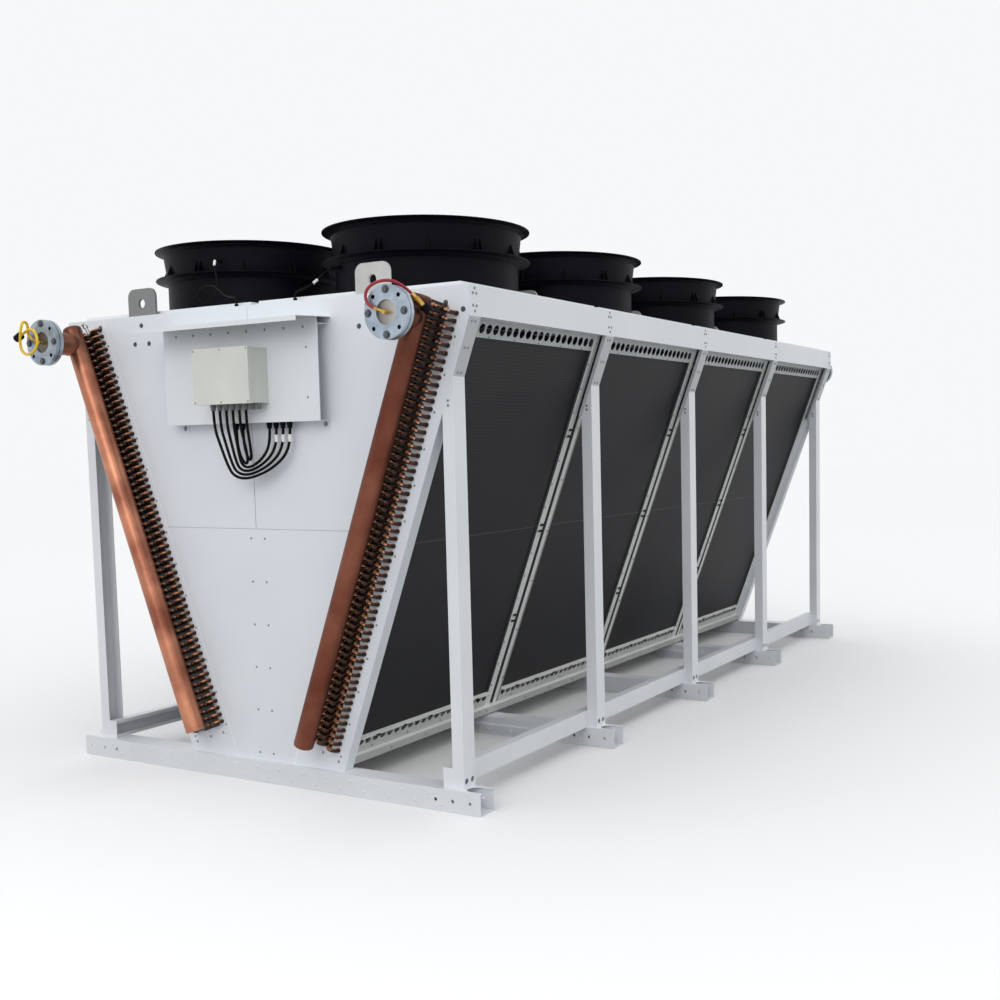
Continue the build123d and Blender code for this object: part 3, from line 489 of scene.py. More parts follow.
def shade_strips():
    """The strips' sides get painted shade, and one of each pair has a band of painted shade along its edge
    for a shaded return face.
    """
    edge_low, edge_high = BAY / 2 + 0.051, BAY / 2 + 0.07
    y_from_end = strips.sum((strips.axes()["Y"], 1.0), (1.0, 2.5 * BAY))
    in_bay = strips.calculate("MODULO", y_from_end, BAY)
    # Painted shade: a dark band along one edge of each pair.
    strips.recolour(strips.band(in_bay, edge_low, edge_high), tone(134, 129, 116))
    # Painted shade on the faces that look along y.
    strips.recolour(strips.ramp(strips.absolute(strips.facing()["Y"]), 0.6, 0.7), tone(84, 88, 88))


def shade_ledges():
    """Faces that look outward and down get painted shade, duller than the ledges that look up."""
    ledges.recolour(ledges.ramp(ledges.facing()["Z"], 0.0, -0.2), tone(196, 197, 193))


def grey_discs():
    """The closing disc behind the nipple is grey steel, in painted shade that lightens to its right."""
    axes = closing.axes()
    reach = END_Y + FLANGE_FACE - 0.008
    rightward = closing.ramp(axes["X"], FLANGE_X - 0.05, FLANGE_X + 0.05)
    shade = closing.mix(rightward, tone(112, 106, 99), tone(190, 187, 182))
    closing.recolour(closing.ramp(closing.absolute(axes["Y"]), reach + 0.0005, reach), shade)


def darken_flange_holes():
    """The walls of the bolt holes get painted shade."""
    ring_low, ring_high, ring_edge = 0.0062, 0.0103, 0.0001
    axes = zinc.axes()
    across = zinc.sum((zinc.absolute(axes["X"]), 1.0), (1.0, -FLANGE_X))
    up = zinc.sum((axes["Z"], 1.0), (1.0, -STUB_Z))
    radius_squared = zinc.sum((zinc.times(across, across), 1.0), (zinc.times(up, up), 1.0))
    wall = zinc.ramp(zinc.absolute(zinc.facing()["Y"]), 0.6, 0.5)
    ring_zone = zinc.band(radius_squared, ring_low, ring_high, ring_edge)
    zinc.recolour(zinc.times(ring_zone, wall), tone(24, 25, 25))


def paint_bend_highlights():
    """The upper sides of the bends get a painted highlight."""
    faces = bends.facing()
    upward = bends.sum((bends.absolute(faces["Y"]), 0.55), (faces["Z"], 0.83))
    bends.recolour(bends.ramp(upward, 0.62, 0.94), bends.mix(0.88, bends.colour, tone(228, 160, 118)))


def shade_arms():
    """The leaning part of the arms gets painted shade, greyer than the casing."""
    leaning = arm_paint.ramp(arm_paint.axes()["Z"], BAND_Z - 0.001, BAND_Z - 0.003)
    arm_paint.recolour(leaning, tone(190, 193, 195))


def shade_hood():
    """The hood's underside is in shade."""
    hood_paint.recolour(hood_paint.ramp(hood_paint.facing()["Z"], -0.5, -0.8), tone(170, 172, 169))


def darken_left_lugs():
    """The left lifting plates get painted shade, darker than the right ones."""
    bare.recolour(bare.ramp(bare.axes()["X"], 0.1, -0.1), tone(130, 131, 131))


line_fins()
paint_tube_sheet_shade_and_highlight()
seam_panels()
darken_copper()
shade_strips()
shade_ledges()
grey_discs()
darken_flange_holes()
paint_bend_highlights()
shade_arms()
shade_hood()
darken_left_lugs()

FINISH_OF = {
    "crossbeams": steel_paint,
    "base_rails": steel_paint,
    "posts": steel_paint,
    "arms": arm_paint,
    "coils": fins,
    "frame_strips": strips,
    "baffles": dark,
    "sills": ledges,
    "foot_strips": ledges,
    "top_strips": top_paint,
    "upper_panels_front": panels,
    "upper_panels_rear": panels,
    "lower_panel_front": panels,
    "lower_panel_rear": panels,
    "end_plates_front": tube_sheet,
    "end_plates_rear": tube_sheet,
    "lifting_lugs": bare,
    "headers": copper,
    "back_flanges": zinc,
    "front_flanges": zinc,
    "flange_plugs": closing,
    "vent_caps": plastic,
    "fan_guards": motor_black,
    "fan_motors": motor_black,
    "fan_rotors": motor_black,
    "fan_blades": plastic,
    "rain_hood": hood_paint,
    "control_box": box_grey,
    "box_glands": gland_grey,
    "plate_glands": plastic,
    "cable_bosses": plastic,
}
NODE_SHARP = 32
PIECE_SHARP = 40


def smooth(mesh, sharp):
    """Rounds the shading, except at edges sharper than an angle in degrees."""
    for face in mesh.polygons:
        face.use_smooth = True
    mesh.set_sharp_from_angle(angle=math.radians(sharp))


def paint_nodes():
    for name, node in nodes.items():
        finish = plastic if name.startswith("fan_duct") else FINISH_OF.get(name, casing)
        node.data.materials.clear()
        node.data.materials.append(finish.material)
        smooth(node.data, NODE_SHARP)


paint_nodes()


# Cables and hoses

LENGTH_STEPS = 24


def spline_length(route):
    """The length of the quadratic curve that these control points make."""
    points = [Vector(p) for p in route]
    start, length = points[0], 0.0
    for k in range(1, len(points) - 1):
        end = points[-1] if k == len(points) - 2 else (points[k] + points[k + 1]) / 2
        last = start
        for step in range(1, LENGTH_STEPS + 1):
            t = step / LENGTH_STEPS
            here = start * (1 - t) ** 2 + points[k] * (2 * t * (1 - t)) + end * t * t
            length += (here - last).length
            last = here
        start = end
    return length


def add_cord(name, route, diameter, finish):
    curve = bpy.data.curves.new(name + "_line", "CURVE")
    curve.dimensions = "3D"
    spline = curve.splines.new("NURBS")
    spline.points.add(len(route) - 1)
    for point, place in zip(spline.points, route):
        point.co = (*place, 1)
    spline.order_u = 3
    spline.use_endpoint_u = True
    spline.resolution_u = 10
    curve.bevel_depth = diameter / 2
    curve.bevel_resolution = 3
    curve.use_fill_caps = True
    curve.materials.append(finish.material)
    piece = bpy.data.objects.new(name + "_line", curve)
    link(piece)
    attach(piece, "root")
    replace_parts(piece, name)
    spline_length(route)


def plate_gland_x(k):
    """Where a box cable's gland is under the control plate."""
    return PLATE_GLAND_X + PLATE_GLAND_OF_CABLE[k] * GLAND_PITCH


def box_cable_route(k):
    """From a box gland down into a hanging loop; the last two turn back behind, the others cross over."""
    x0, x1 = BOX_CENTRE_X + (k - 3.5) * GLAND_PITCH, plate_gland_x(k)
    y0, y1 = -END_Y - BOX_GLAND_OUT, -END_Y - PLATE_GLAND_OUT
    top, end = BOX_LOW_Z - GLAND_LENGTH, PLATE_LOW_Z - GLAND_LENGTH
    foot = BOX_CENTRE_X + LOOP_PITCH * (1.3 * k - 3)
    low = PLATE_LOW_Z - LOOP_DROP + k * LOOP_PITCH
    back = 0.026 if x1 < foot else -0.001
    route = [(x0, y0, top)]
    for along, down in ((0.02, 0.25), (0.4, 0.52), (0.82, 0.8)):
        route.append((x0 + along * (foot - x0), y0 + back * along, top - down * (top - low)))
    for along, up in ((0.05, 0.05), (0.24, -0.02), (0.48, 0.06), (0.72, 0.22), (0.92, 0.46)):
        y = y0 + back + (y1 - y0 - back) * along
        route.append((foot + along * (x1 - foot), y, low + up * (end - low)))
    return route + [(x1, y1, low + 0.76 * (end - low)), (x1, y1, end)]


def boss_points(side, boss, steps):
    """Places straight ahead of a cable boss on the first duct of a side, by steps outward and upward."""
    bearing, radius, over_lip = boss
    angle = math.radians(bearing)
    points = []
    for out, rise in steps:
        x = side * FAN_X + (radius + out) * math.sin(angle)
        y = BAY_CENTRES[0] - (radius + out) * math.cos(angle)
        points.append((x, y, MID_LIP_Z + over_lip + rise))
    return points


def offsets(x, y, z, steps):
    """Places given by steps in millimetres from a point."""
    return [(x + dx / 1000, y + dy / 1000, z + dz / 1000) for dx, dy, dz in steps]


def fan_cable_route(near, boss, middle, deck_x, end):
    """From a boss on the duct, then over the deck's front edge, down to a boss on the deck."""
    x, y, z = near[-1][0], -END_Y + DECK_BOSS_INSET, MID_LIP_Z + boss[2]
    return near + offsets(x, y, z, middle) + offsets(deck_x, y, CASING_TOP + DECK_BOSS_HEIGHT, end)


def left_fan_cable_route():
    near = boss_points(-1, LEFT_BOSS, ((0, 0), (0.024, 0), (0.05, -0.006)))
    middle = [
        (8, 142, -30), (28, 130, -66), (40, 125, -106), (48, 120, -140), (38, 115, -178),
        (1, 110, -205), (-41, 105, -214), (-66, 100, -186), (-54, 95, -154), (-7, 90, -134),
        (57, 80, -137), (115, 60, -166), (170, 38, -196),
    ]
    end = [(-64, 20, 40), (-43, 9, 37), (-15, 2, 34), (0, 0, 19), (0, 0, 0)]
    return fan_cable_route(near, LEFT_BOSS, middle, LEFT_DECK_BOSS_X, end)


def right_fan_cable_route():
    near = boss_points(1, RIGHT_BOSS, ((0, 0), (0.026, 0), (0.06, -0.022)))
    middle = [(-8, 150, -54), (-14, 104, -88), (-20, 56, -112), (-22, 16, -124)]
    end = [(0, 0, 18), (0, 0, 0)]
    return fan_cable_route(near, RIGHT_BOSS, middle, RIGHT_DECK_BOSS_X, end)


def hose_points(side, steps):
    """Places given by steps from the vent nipple on a front flange, the first at its outlet's end."""
    outlet = (-OUTLET_MM * math.cos(OUTLET_RISE), 0, OUTLET_MM * math.sin(OUTLET_RISE))
    return offsets(side * FLANGE_X, -END_Y - FLANGE_FACE - NIPPLE_REACH, STUB_Z, [outlet] + steps)


def right_hose_route():
    """Round over the right flange to the cap beside its stub."""
    steps = [
        (-62, 0, 22.6), (-80, -2, 36), (-91, -4, 62), (-84, -3, 92), (-60, 3, 113), (-30, 17, 126),
        (0, 41, 129), (22, 69, 118), (38, 97, 100), (48, 119, 80), (61, 139, 58), (76, 159, 34),
    ]
    return hose_points(1, steps)


def left_hose_route():
    """Up and over into one round loop in front of the left flange, to the cap at its free end."""
    steps = [
        (-62, -1, 22.6), (-71, -6, 38), (-69, -11, 56), (-62, -14, 74), (-54, -26, 98), (-53, -50, 98),
        (-58, -56, 66), (-68, -54, 32), (-78, -50, -4), (-74, -47, -38), (-44, -45, -60), (-2, -43, -56),
        (31, -41, -28), (38, -39, 12), (20, -37, 46), (-10, -35, 62), (-38, -33, 60), (-62, -32, 50),
        (-93, -32, 36),
    ]
    return hose_points(-1, steps)


def add_cords():
    left_fan, right_fan = left_fan_cable_route(), right_fan_cable_route()
    left_hose, right_hose = left_hose_route(), right_hose_route()
    for k in range(len(PLATE_GLAND_OF_CABLE)):
        route = box_cable_route(k)
        add_cord(f"box_cable_{k + 1}", route, BOX_CABLE_D, sheath)
    add_cord("fan_cable_left", left_fan, FAN_CABLE_D, sheath)
    add_cord("fan_cable_right", right_fan, FAN_CABLE_D, sheath)
    add_cord("vent_hose_right", right_hose, HOSE_D, red_hose)
    add_cord("vent_hose_left", left_hose, HOSE_D, yellow_hose)


add_cords()


# Small shapes, each made once and set in many places

SINK = 0.001
SCREW_SINK = 0.0002


class Batch:
    """Many copies of small shapes joined into one mesh."""

    def __init__(self):
        self.points, self.faces = [], []

    def add(self, shape, place):
        first = len(self.points)
        self.points += [place @ point for point in shape[0]]
        self.faces += [[first + k for k in face] for face in shape[1]]

    def finish(self, name, finish):
        mesh = bpy.data.meshes.new(name)
        mesh.from_pydata(self.points, [], self.faces)
        mesh.validate()
        mesh.update()
        smooth(mesh, PIECE_SHARP)
        mesh.materials.append(finish.material)
        piece = bpy.data.objects.new(name, mesh)
        link(piece)
        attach(piece, "root")
        return piece


def round_walls(rows, sides):
    """Four-sided faces between rows of points that go round."""
    faces = []
    for row in range(rows - 1):
        for k in range(sides):
            a, b = row * sides + k, row * sides + (k + 1) % sides
            faces.append((a, b, b + sides, a + sides))
    return faces


def turned(profile, sides):
    """A shape turned round z from (radius, height) steps, closed at both ends."""
    points = []
    for radius, height in profile:
        for k in range(sides):
            angle = 2 * math.pi * k / sides
            points.append(Vector((radius * math.cos(angle), radius * math.sin(angle), height)))
    faces = round_walls(len(profile), sides)
    faces.append(tuple(reversed(range(sides))))
    faces.append(tuple(range((len(profile) - 1) * sides, len(profile) * sides)))
    return points, faces


def tube(path, radius, sides):
    """A round tube along points that lie flat in x and y, open at both ends."""
    points = []
    normal = Vector((0, 0, 1))
    last = len(path) - 1
    for k, point in enumerate(path):
        way = (path[min(k + 1, last)] - path[max(k - 1, 0)]).normalized()
        across = way.cross(normal).normalized()
        for s in range(sides):
            angle = 2 * math.pi * s / sides
            points.append(point + radius * (math.cos(angle) * across + math.sin(angle) * normal))
    return points, round_walls(len(path), sides)


def ring(radius, wire, sides):
    """A wire bent into a closed ring round z, four-sided across."""
    corners = [(radius + wire * c, wire * s) for c, s in ((1, 0), (0, 1), (-1, 0), (0, -1))]
    points, faces = [], []
    for k in range(sides):
        angle = 2 * math.pi * k / sides
        points += [Vector((r * math.cos(angle), r * math.sin(angle), z)) for r, z in corners]
    for k in range(sides):
        for s in range(4):
            a, b = 4 * k + s, 4 * k + (s + 1) % 4
            faces.append((a, (a + 4) % (4 * sides), (b + 4) % (4 * sides), b))
    return points, faces


def prism(outline, thick):
    """A flat outline in x and z, thick along y about the middle."""
    count = len(outline)
    points = [Vector((x, y, z)) for y in (-thick / 2, thick / 2) for x, z in outline]
    faces = [tuple(range(count)), tuple(reversed(range(count, 2 * count)))]
    faces += [(k, k + count, (k + 1) % count + count, (k + 1) % count) for k in range(count)]
    return points, faces


def seat(point, normal, spin=0.0):
    """Stands a shape on a point with its z along the normal."""
    turn = Vector(normal).to_track_quat("Z", "Y").to_matrix().to_4x4()
    return Matrix.Translation(point) @ turn @ Matrix.Rotation(spin, 4, "Z")


def dome(radius, height):
    """A low round screw or rivet head."""
    crown = [(radius, height * 0.35), (radius * 0.72, height * 0.85), (radius * 0.3, height)]
    return turned([(radius, -SCREW_SINK)] + crown, 10)


def hex_bolt(size):
    """A six-sided head on a washer."""
    washer = turned([(size * 1.35, -SCREW_SINK), (size * 1.35, size * 0.16)], 18)
    head = turned([(size, 0.0), (size, size * 0.62), (size * 0.86, size * 0.75)], 6)
    first = len(washer[0])
    return washer[0] + head[0], washer[1] + [tuple(first + k for k in face) for face in head[1]]


SMALL = dome(0.0055, 0.0028)
RIVET = dome(0.0065, 0.0034)
LID_SCREW = dome(0.0045, 0.002)
BEAM_RIVET = dome(0.008, 0.0025)
BOLT = hex_bolt(0.0085)
BIG_BOLT = hex_bolt(0.0125)


# Return bends


def add_bends():
    """Real bent tubes with belled feet in place of the tapered solids on the tube sheets."""
    arc = [math.pi * k / 8 for k in range(9)]
    path = [Vector((-BEND_HALF, -SINK, 0))]
    path += [Vector((-BEND_HALF * math.cos(a), BEND_LEG + BEND_HALF * math.sin(a), 0)) for a in arc]
    path += [Vector((BEND_HALF, -SINK, 0))]
    shape = tube(path, BEND_R, 8)
    bell = turned([(BELL_R, -SINK), (BELL_R, 0.008), (0.0094, 0.011)], 8)
    for end, way in ENDS:
        batch = Batch()
        for side in SIDES:
            span = outward(side)
            turn = Matrix((span, way, span.cross(way))).transposed().to_4x4()
            for column in BEND_COLUMNS:
                for row in range(BEND_ROWS):
                    point = lean(column, end * END_Y, BEND_START + row * BEND_PITCH, side)
                    batch.add(shape, Matrix.Translation(point) @ turn)
                    for foot in (-BEND_HALF, BEND_HALF):
                        batch.add(bell, seat(point + foot * span, way))
        name = "front" if end < 0 else "rear"
        piece = batch.finish(f"bent_tubes_{name}", bends)
        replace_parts(piece, f"return_bends_{name}")


# Headers


def header_shape():
    """A smooth tube with a rimmed foot, a groove near each end and a domed top."""
    length = (HEADER_TOP_Z - HEADER_LOW_Z) / COS
    foot = [(0.040, -0.008), (0.0445, -0.007), (HEADER_R, -0.004), (HEADER_R, 0.006)]
    low_groove = [(HEADER_GROOVE_R, 0.007), (HEADER_GROOVE_R, 0.009), (HEADER_R, 0.01)]
    high_groove = [
        (HEADER_R, length - 0.012), (HEADER_GROOVE_R, length - 0.011), (HEADER_GROOVE_R, length - 0.009),
    ]
    cap = [
        (0.0455, length - 0.008), (0.044, length + 0.001), (0.038, length + 0.006), (0.02, length + 0.008),
    ]
    return turned(foot + low_groove + high_groove + cap, 40)


def stub_shape():
    """The stub to the flange, which flares out of the header into a collar."""
    flare = [(0.0414, 0.0), (0.053, 0.042), (0.0565, 0.047), (0.0565, 0.056)]
    return turned(flare + [(STUB_R, 0.06), (STUB_R, 0.169)], 40)


def add_headers():
    """Headers with their stubs, and round feeders from the tube sheet."""
    batch = Batch()
    main, stub = header_shape(), stub_shape()
    reach = math.hypot(HEADER_STANDOFF, HEADER_INSET - FEEDER_INSET)
    feeder = turned([(FEEDER_R, -SINK), (FEEDER_R, reach)], 8)
    for end, way in ENDS:
        out = end * (END_Y + HEADER_STANDOFF)
        for side in SIDES:
            foot = Vector((side * side_x(HEADER_LOW_Z, HEADER_INSET), out, HEADER_LOW_Z))
            batch.add(main, seat(foot, upslope(side)))
            batch.add(stub, seat((side * FLANGE_X, out, STUB_Z), way))
            for row in range(1, BEND_ROWS - 1):
                up = BEND_START + row * BEND_PITCH
                sheet = lean(FEEDER_INSET, end * END_Y, up, side)
                batch.add(feeder, seat(sheet, lean(HEADER_INSET, out, up, side) - sheet))
    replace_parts(batch.finish("header_tubes", copper), "headers")


# Fasteners


def end_fasteners():
    """Screws and bolts on the two end panels."""
    small, large = Batch(), Batch()
    for end, way in ENDS:
        face = end * END_Y
        for side in SIDES:
            for k in range(PANEL_SCREW_COUNT):
                for depth in PANEL_SCREW_DEPTHS:
                    point = lean(depth, face, PANEL_SCREW_START + PANEL_SCREW_PITCH * k, side)
                    small.add(SMALL, seat(point, way))
            for x, z in LUG_BOLTS:
                large.add(BOLT, seat((side * x, face, z), way, 0.3 * x))
            for x, z in CORNER_BOLTS:
                large.add(BOLT, seat((side * x, face, z), way, x))
            for x, z in FOOT_RIVETS:
                small.add(RIVET, seat((side * x, face, z), way))
            for z in MIDDLE_SCREW_HEIGHTS:
                small.add(SMALL, seat((BOX_CENTRE_X + side * MIDDLE_SCREW_REACH, face, z), way))
    small.finish("end_panel_screws", screw)
    large.finish("lug_bolts", bolt_grey)


def post_rivets(batch, side, y):
    """Rivets on one arm, on the band above it and on the flanks of its post."""
    for up in ARM_RIVET_RISES:
        for step in RIVET_PAIR:
            batch.add(RIVET, seat(lean(0, y + step, up, side), outward(side)))
    for z, steps in BAND_RIVETS:
        for step in steps:
            batch.add(RIVET, seat((side * TOP_HALF, y + step, z), (side, 0, 0)))
    for way in (-1, 1):
        for z in POST_RIVET_HEIGHTS:
            batch.add(RIVET, seat((side * POST_RIVET_X, y + way * POST_DEPTH / 2, z), (0, way, 0)))


def side_fasteners():
    """Rivets on the arms and posts, screws along the strips and sills."""
    rivets, screws = Batch(), Batch()
    for side in SIDES:
        out = outward(side)
        for y in POST_LINES:
            post_rivets(rivets, side, y)
        for y in FRAME_LINES[1:-1]:
            for step, start, pitch, count in STRIP_SCREW_ROWS:
                for k in range(count):
                    screws.add(SMALL, seat(lean(FRAME_RECESS, y + step, start + pitch * k, side), out))
        for centre in BAY_CENTRES:
            for k in range(4):
                y = centre + (k - 1.5) * LEDGE_SCREW_PITCH
                ledge = lean(FRAME_RECESS, y, SILL_HEIGHT + LEDGE_SCREW_RISE, side)
                sill = lean(SILL_RECESS, y + LEDGE_SCREW_PITCH / 2, SILL_HEIGHT / 2, side)
                screws.add(SMALL, seat(ledge, out))
                screws.add(SMALL, seat(sill, out))
    rivets.finish("frame_rivets", screw)
    screws.finish("strip_screws", screw)


def gap_clips():
    """Dark hooked clips on the strips beside each gap, and drain nicks along the ledges as dark prisms of
    painted shade.
    """
    hook_outline = [
        (-0.016, 0), (0.012, 0), (0.016, 0.005), (0.016, 0.013), (0.008, 0.013), (0.005, 0.006),
        (-0.016, 0.004),
    ]
    nick_outline = [(-0.014, -SINK), (0.013, -SINK), (0.013, 0.0026), (-0.003, 0.0026), (-0.014, 0.001)]
    hook, nick = prism(hook_outline, 0.011), prism(nick_outline, 0.012)
    clips, nicks = Batch(), Batch()
    for side in SIDES:
        turn = Matrix((BACK, upslope(side), outward(side))).transposed().to_4x4()
        for y in FRAME_LINES[1:-1]:
            for rise in CLIP_RISES:
                for step in CLIP_PAIR:
                    place = lean(FRAME_RECESS, y + CLIP_Y, rise + step, side)
                    clips.add(hook, Matrix.Translation(place) @ turn)
        for centre in BAY_CENTRES:
            for k in range(5):
                y = centre + (k - 2) * NICK_PITCH
                low = lean(NICK_DEPTH, y, COIL_LOW - NICK_DROP, side)
                high = lean(FRAME_RECESS, y + TOP_NICK_SHIFT, TOP_NICK_RISE, side)
                # Each nick is a dark prism of painted shade, standing for a notch.
                nicks.add(nick, Matrix.Translation(low) @ turn)
                nicks.add(nick, Matrix.Translation(high) @ turn @ Matrix.Scale(TOP_NICK_SCALE, 4))
    clips.finish("gap_clips", dark)
    nicks.finish("drain_nicks", dark)


def control_fasteners():
    """Screws on the control plate and box lid, the tabs that hold the plate's foot, and its rim."""
    screws, trim = Batch(), Batch()
    plate = -END_Y - PLATE_STANDOFF
    for k in range(PLATE_SCREW_COUNT):
        x = PLATE_SCREW_START + PLATE_SCREW_PITCH * k
        screws.add(RIVET, seat((x, plate, PLATE_SCREW_Z), FRONT))
    for z in PLATE_EDGE_SCREW_HEIGHTS:
        screws.add(SMALL, seat((PLATE_EDGE_SCREW_X, plate, z), FRONT))
    for x in LID_SCREW_XS:
        for z in (BOX_LOW_Z + LID_SCREW_EDGE, BOX_LOW_Z + BOX_HEIGHT - LID_SCREW_EDGE):
            screws.add(LID_SCREW, seat((BOX_CENTRE_X + x, plate - BOX_DEPTH, z), FRONT))
    tab = prism([(-0.024, -0.03), (0.024, -0.03), (0.024, 0), (-0.024, 0)], TAB_THICK)
    for x in TAB_XS:
        trim.add(tab, Matrix.Translation((x, -END_Y - TAB_THICK / 2, PLATE_LOW_Z)))
        screws.add(BOLT, seat((x, -END_Y - TAB_THICK, PLATE_LOW_Z - TAB_BOLT_DROP), FRONT))
    rim_outline = [
        (-0.478, 0), (0.478, 0), (0.478, 0.026), (0.474, 0.028), (-0.474, 0.028), (-0.478, 0.026),
    ]
    trim.add(prism(rim_outline, 0.0015), Matrix.Translation((0, plate + RIM_SEAT, RIM_LOW_Z)))
    screws.finish("control_screws", screw)
    trim.finish("plate_trim", casing)


def flange_bolts():
    """Four bolts through each pair of rings, with nuts behind; the other holes stay open."""
    batch = Batch()
    shank = turned([(0.0075, 0.0), (0.0075, 0.014), (0.006, 0.016)], 10)
    shank_start = 0.008
    for end, way in ENDS:
        face = end * (END_Y + FLANGE_FACE)
        back = face - end * FLANGE_DEPTH
        for side in SIDES:
            for k in range(4):
                angle = k * math.pi / 2
                x = side * FLANGE_X + FLANGE_PCD_R * math.cos(angle)
                z = STUB_Z + FLANGE_PCD_R * math.sin(angle)
                batch.add(BIG_BOLT, seat((x, face, z), way, k))
                batch.add(BIG_BOLT, seat((x, back, z), -way, 0.4 * k))
                batch.add(shank, seat((x, back - end * shank_start, z), -way))
    batch.finish("flange_bolts", bolt_grey)


def beam_rivets():
    """Raised rivets in a zigzag along the webs of the crossbeams."""
    batch = Batch()
    for y in FRAME_LINES:
        for way in (-1, 1):
            for k in range(BEAM_RIVET_COUNT):
                x = BEAM_RIVET_START + BEAM_RIVET_PITCH * k
                place = (x, y + way * BEAM_HALF, BEAM_RIVET_HEIGHTS[k % 2])
                batch.add(BEAM_RIVET, seat(place, (0, way, 0)))
    batch.finish("beam_rivets", steel_paint)


# Fittings on the piping and the cables


def bleed_valve():
    """A small valve with a side handle at the top of the left header."""
    batch = Batch()
    stem = [(0.007, -0.02), (0.007, 0.012), (0.012, 0.013), (0.012, 0.024), (0.006, 0.026), (0.006, 0.036)]
    knob = [(0.004, 0.0), (0.004, 0.02), (0.008, 0.021), (0.008, 0.028)]
    place = Vector((-0.989, -END_Y - 0.09, 2.19))
    handle_rise = Vector((0, 0, 0.018))
    batch.add(turned(stem, 16), seat(place, (-SIN, -0.2, COS)))
    batch.add(turned(knob, 12), seat(place + handle_rise, (-1, -0.2, 0.4)))
    batch.finish("bleed_valve", nickel)


def brass_fittings():
    """A drain plug behind the left flange and a sleeve on the red hose's end."""
    batch = Batch()
    plug = turned([(0.011, -0.012), (0.011, 0.012), (0.008, 0.014), (0.008, 0.022)], 6)
    behind, off_middle = 0.062, 0.042
    place = (-FLANGE_X + off_middle, -END_Y - FLANGE_FACE + behind, STUB_Z - off_middle)
    batch.add(plug, seat(place, (1, 0, -1)))
    route = [Vector(point) for point in right_hose_route()]
    run = route[-1] - route[-3]
    nose = [(0.0075, 0.0), (0.0095, 0.002), (0.0095, 0.02), (0.0085, 0.021), (0.0085, 0.026)]
    grip = [(0.0115, 0.027), (0.0115, 0.045), (0.0105, 0.046), (0.0105, run.length - 0.001)]
    batch.add(turned(nose + grip, 20), seat(route[-3], run))
    batch.finish("brass_fittings", brass)


def cable_tags():
    """White sleeves on three box cables and on the fan cables, near their ends."""
    batch = Batch()
    sleeve = turned([(0.007, -0.017), (0.0092, -0.016), (0.0092, 0.016), (0.007, 0.017)], 14)
    thin = turned([(0.0045, -0.016), (0.0064, -0.015), (0.0064, 0.015), (0.0045, 0.016)], 12)
    for k in range(3):
        batch.add(sleeve, seat((plate_gland_x(k), -END_Y - PLATE_GLAND_OUT, TAG_Z), (0, 0, 1)))
    for route, k in ((left_fan_cable_route(), 2), (right_fan_cable_route(), 3)):
        start, end = Vector(route[k]), Vector(route[k + 1])
        batch.add(thin, seat((start + end) / 2, end - start))
    batch.finish("cable_tags", tag)


# Fan details


def guard_wires():
    """Round guard wires over each fan."""
    batch = Batch()
    for k in range(GUARD_RINGS):
        radius = GUARD_FIRST_R + GUARD_PITCH * k
        wire = ring(radius, GUARD_WIRE_R, 28 if radius < 0.2 else 56)
        for x, y in FANS:
            batch.add(wire, Matrix.Translation((x, y, MID_LIP_Z + GUARD_WIRE_R)))
    batch.finish("guard_wires", motor_black)


def duct_ribs():
    """Moulded triangular ribs round the diffuser above the joint, single and in pairs by turns."""
    batch = Batch()
    rib = prism([(0.0, 0.0), (0.034, 0.0), (0.01, 0.062), (0.004, 0.062)], 0.004)
    for x, y in FANS:
        for k in range(RIB_COUNT):
            turn = Matrix.Rotation(2 * math.pi * k / RIB_COUNT + RIB_TURN, 4, "Z")
            for step in (-RIB_PAIR, RIB_PAIR) if k % 2 else (0.0,):
                out = Matrix.Translation((DUCT_R + SINK, step, 0))
                batch.add(rib, Matrix.Translation((x, y, MID_LIP_Z)) @ turn @ out)
    batch.finish("duct_ribs", plastic)


add_bends()
add_headers()
end_fasteners()
side_fasteners()
gap_clips()
control_fasteners()
flange_bolts()
bleed_valve()
brass_fittings()
cable_tags()
guard_wires()
duct_ribs()
beam_rivets()


# Studio

FLOOR_HALF = 60.0
FLOOR_DROP = 0.0005
SKY = (0.98, 0.99, 1.0, 1.0)


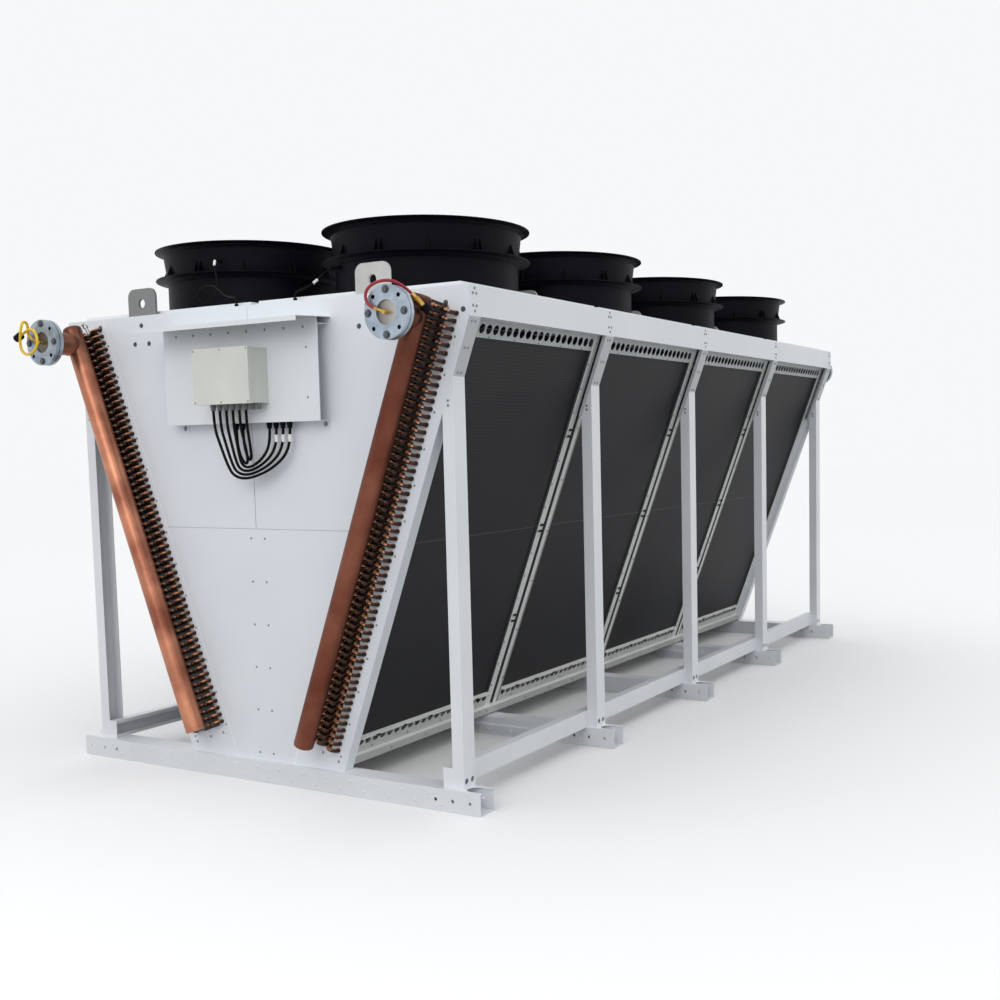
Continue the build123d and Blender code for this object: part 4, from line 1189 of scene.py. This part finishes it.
def add_floor():
    """A pale floor that is white to the eye and in reflections, and throws less light back up."""
    corners = [(x * FLOOR_HALF, y * FLOOR_HALF, 0) for x, y in ((-1, -1), (1, -1), (1, 1), (-1, 1))]
    mesh = bpy.data.meshes.new("studio_floor")
    mesh.from_pydata(corners, [], [(0, 1, 2, 3)])
    ground = Finish("studio_floor", (160, 161, 162), (158, 159, 160), 0.9, gloss=0.1)
    rays = ground.node("ShaderNodeLightPath").outputs
    seen = ground.calculate("MAXIMUM", rays["Is Camera Ray"], rays["Is Glossy Ray"])
    ground.recolour(seen, tone(248, 248, 248))
    mesh.materials.append(ground.material)
    floor = bpy.data.objects.new("studio_floor", mesh)
    floor.location.z = -FLOOR_DROP
    link(floor)


def add_lamp(name, place, target, width, height, power):
    """A soft rectangular lamp that looks at a target."""
    data = bpy.data.lights.new(name, "AREA")
    data.shape = "RECTANGLE"
    data.size = width
    data.size_y = height
    data.energy = power
    lamp = bpy.data.objects.new(name, data)
    lamp.location = place
    lamp.rotation_euler = (Vector(target) - Vector(place)).to_track_quat("-Z", "Y").to_euler()
    link(lamp)


def add_sky():
    """Even light from all round, in the floor's own white where the camera sees it."""
    world = bpy.data.worlds.new("studio_world")
    world.use_nodes = True
    tree = world.node_tree
    sky = tree.nodes["Background"]
    sky.inputs["Strength"].default_value = 1.0
    blend = tree.nodes.new("ShaderNodeMix")
    blend.data_type = "RGBA"
    blend.inputs[MIX_FIRST].default_value = SKY
    blend.inputs[MIX_SECOND].default_value = tone(247, 248, 249)
    rays = tree.nodes.new("ShaderNodeLightPath").outputs
    tree.links.new(rays["Is Camera Ray"], blend.inputs[MIX_FACTOR])
    tree.links.new(blend.outputs[MIX_RESULT], sky.inputs["Color"])
    bpy.context.scene.world = world


add_floor()
add_sky()
add_lamp("front", place=(2.0, -11.0, 6.5), target=(0.4, -2.5, 1.8), width=6, height=5, power=205)
add_lamp("side", place=(9.5, 1.5, 5.5), target=(1.0, 0.5, 1.3), width=9, height=5, power=40)
bpy.context.scene.view_settings.view_transform = "Standard"

bpy.context.view_layer.update()
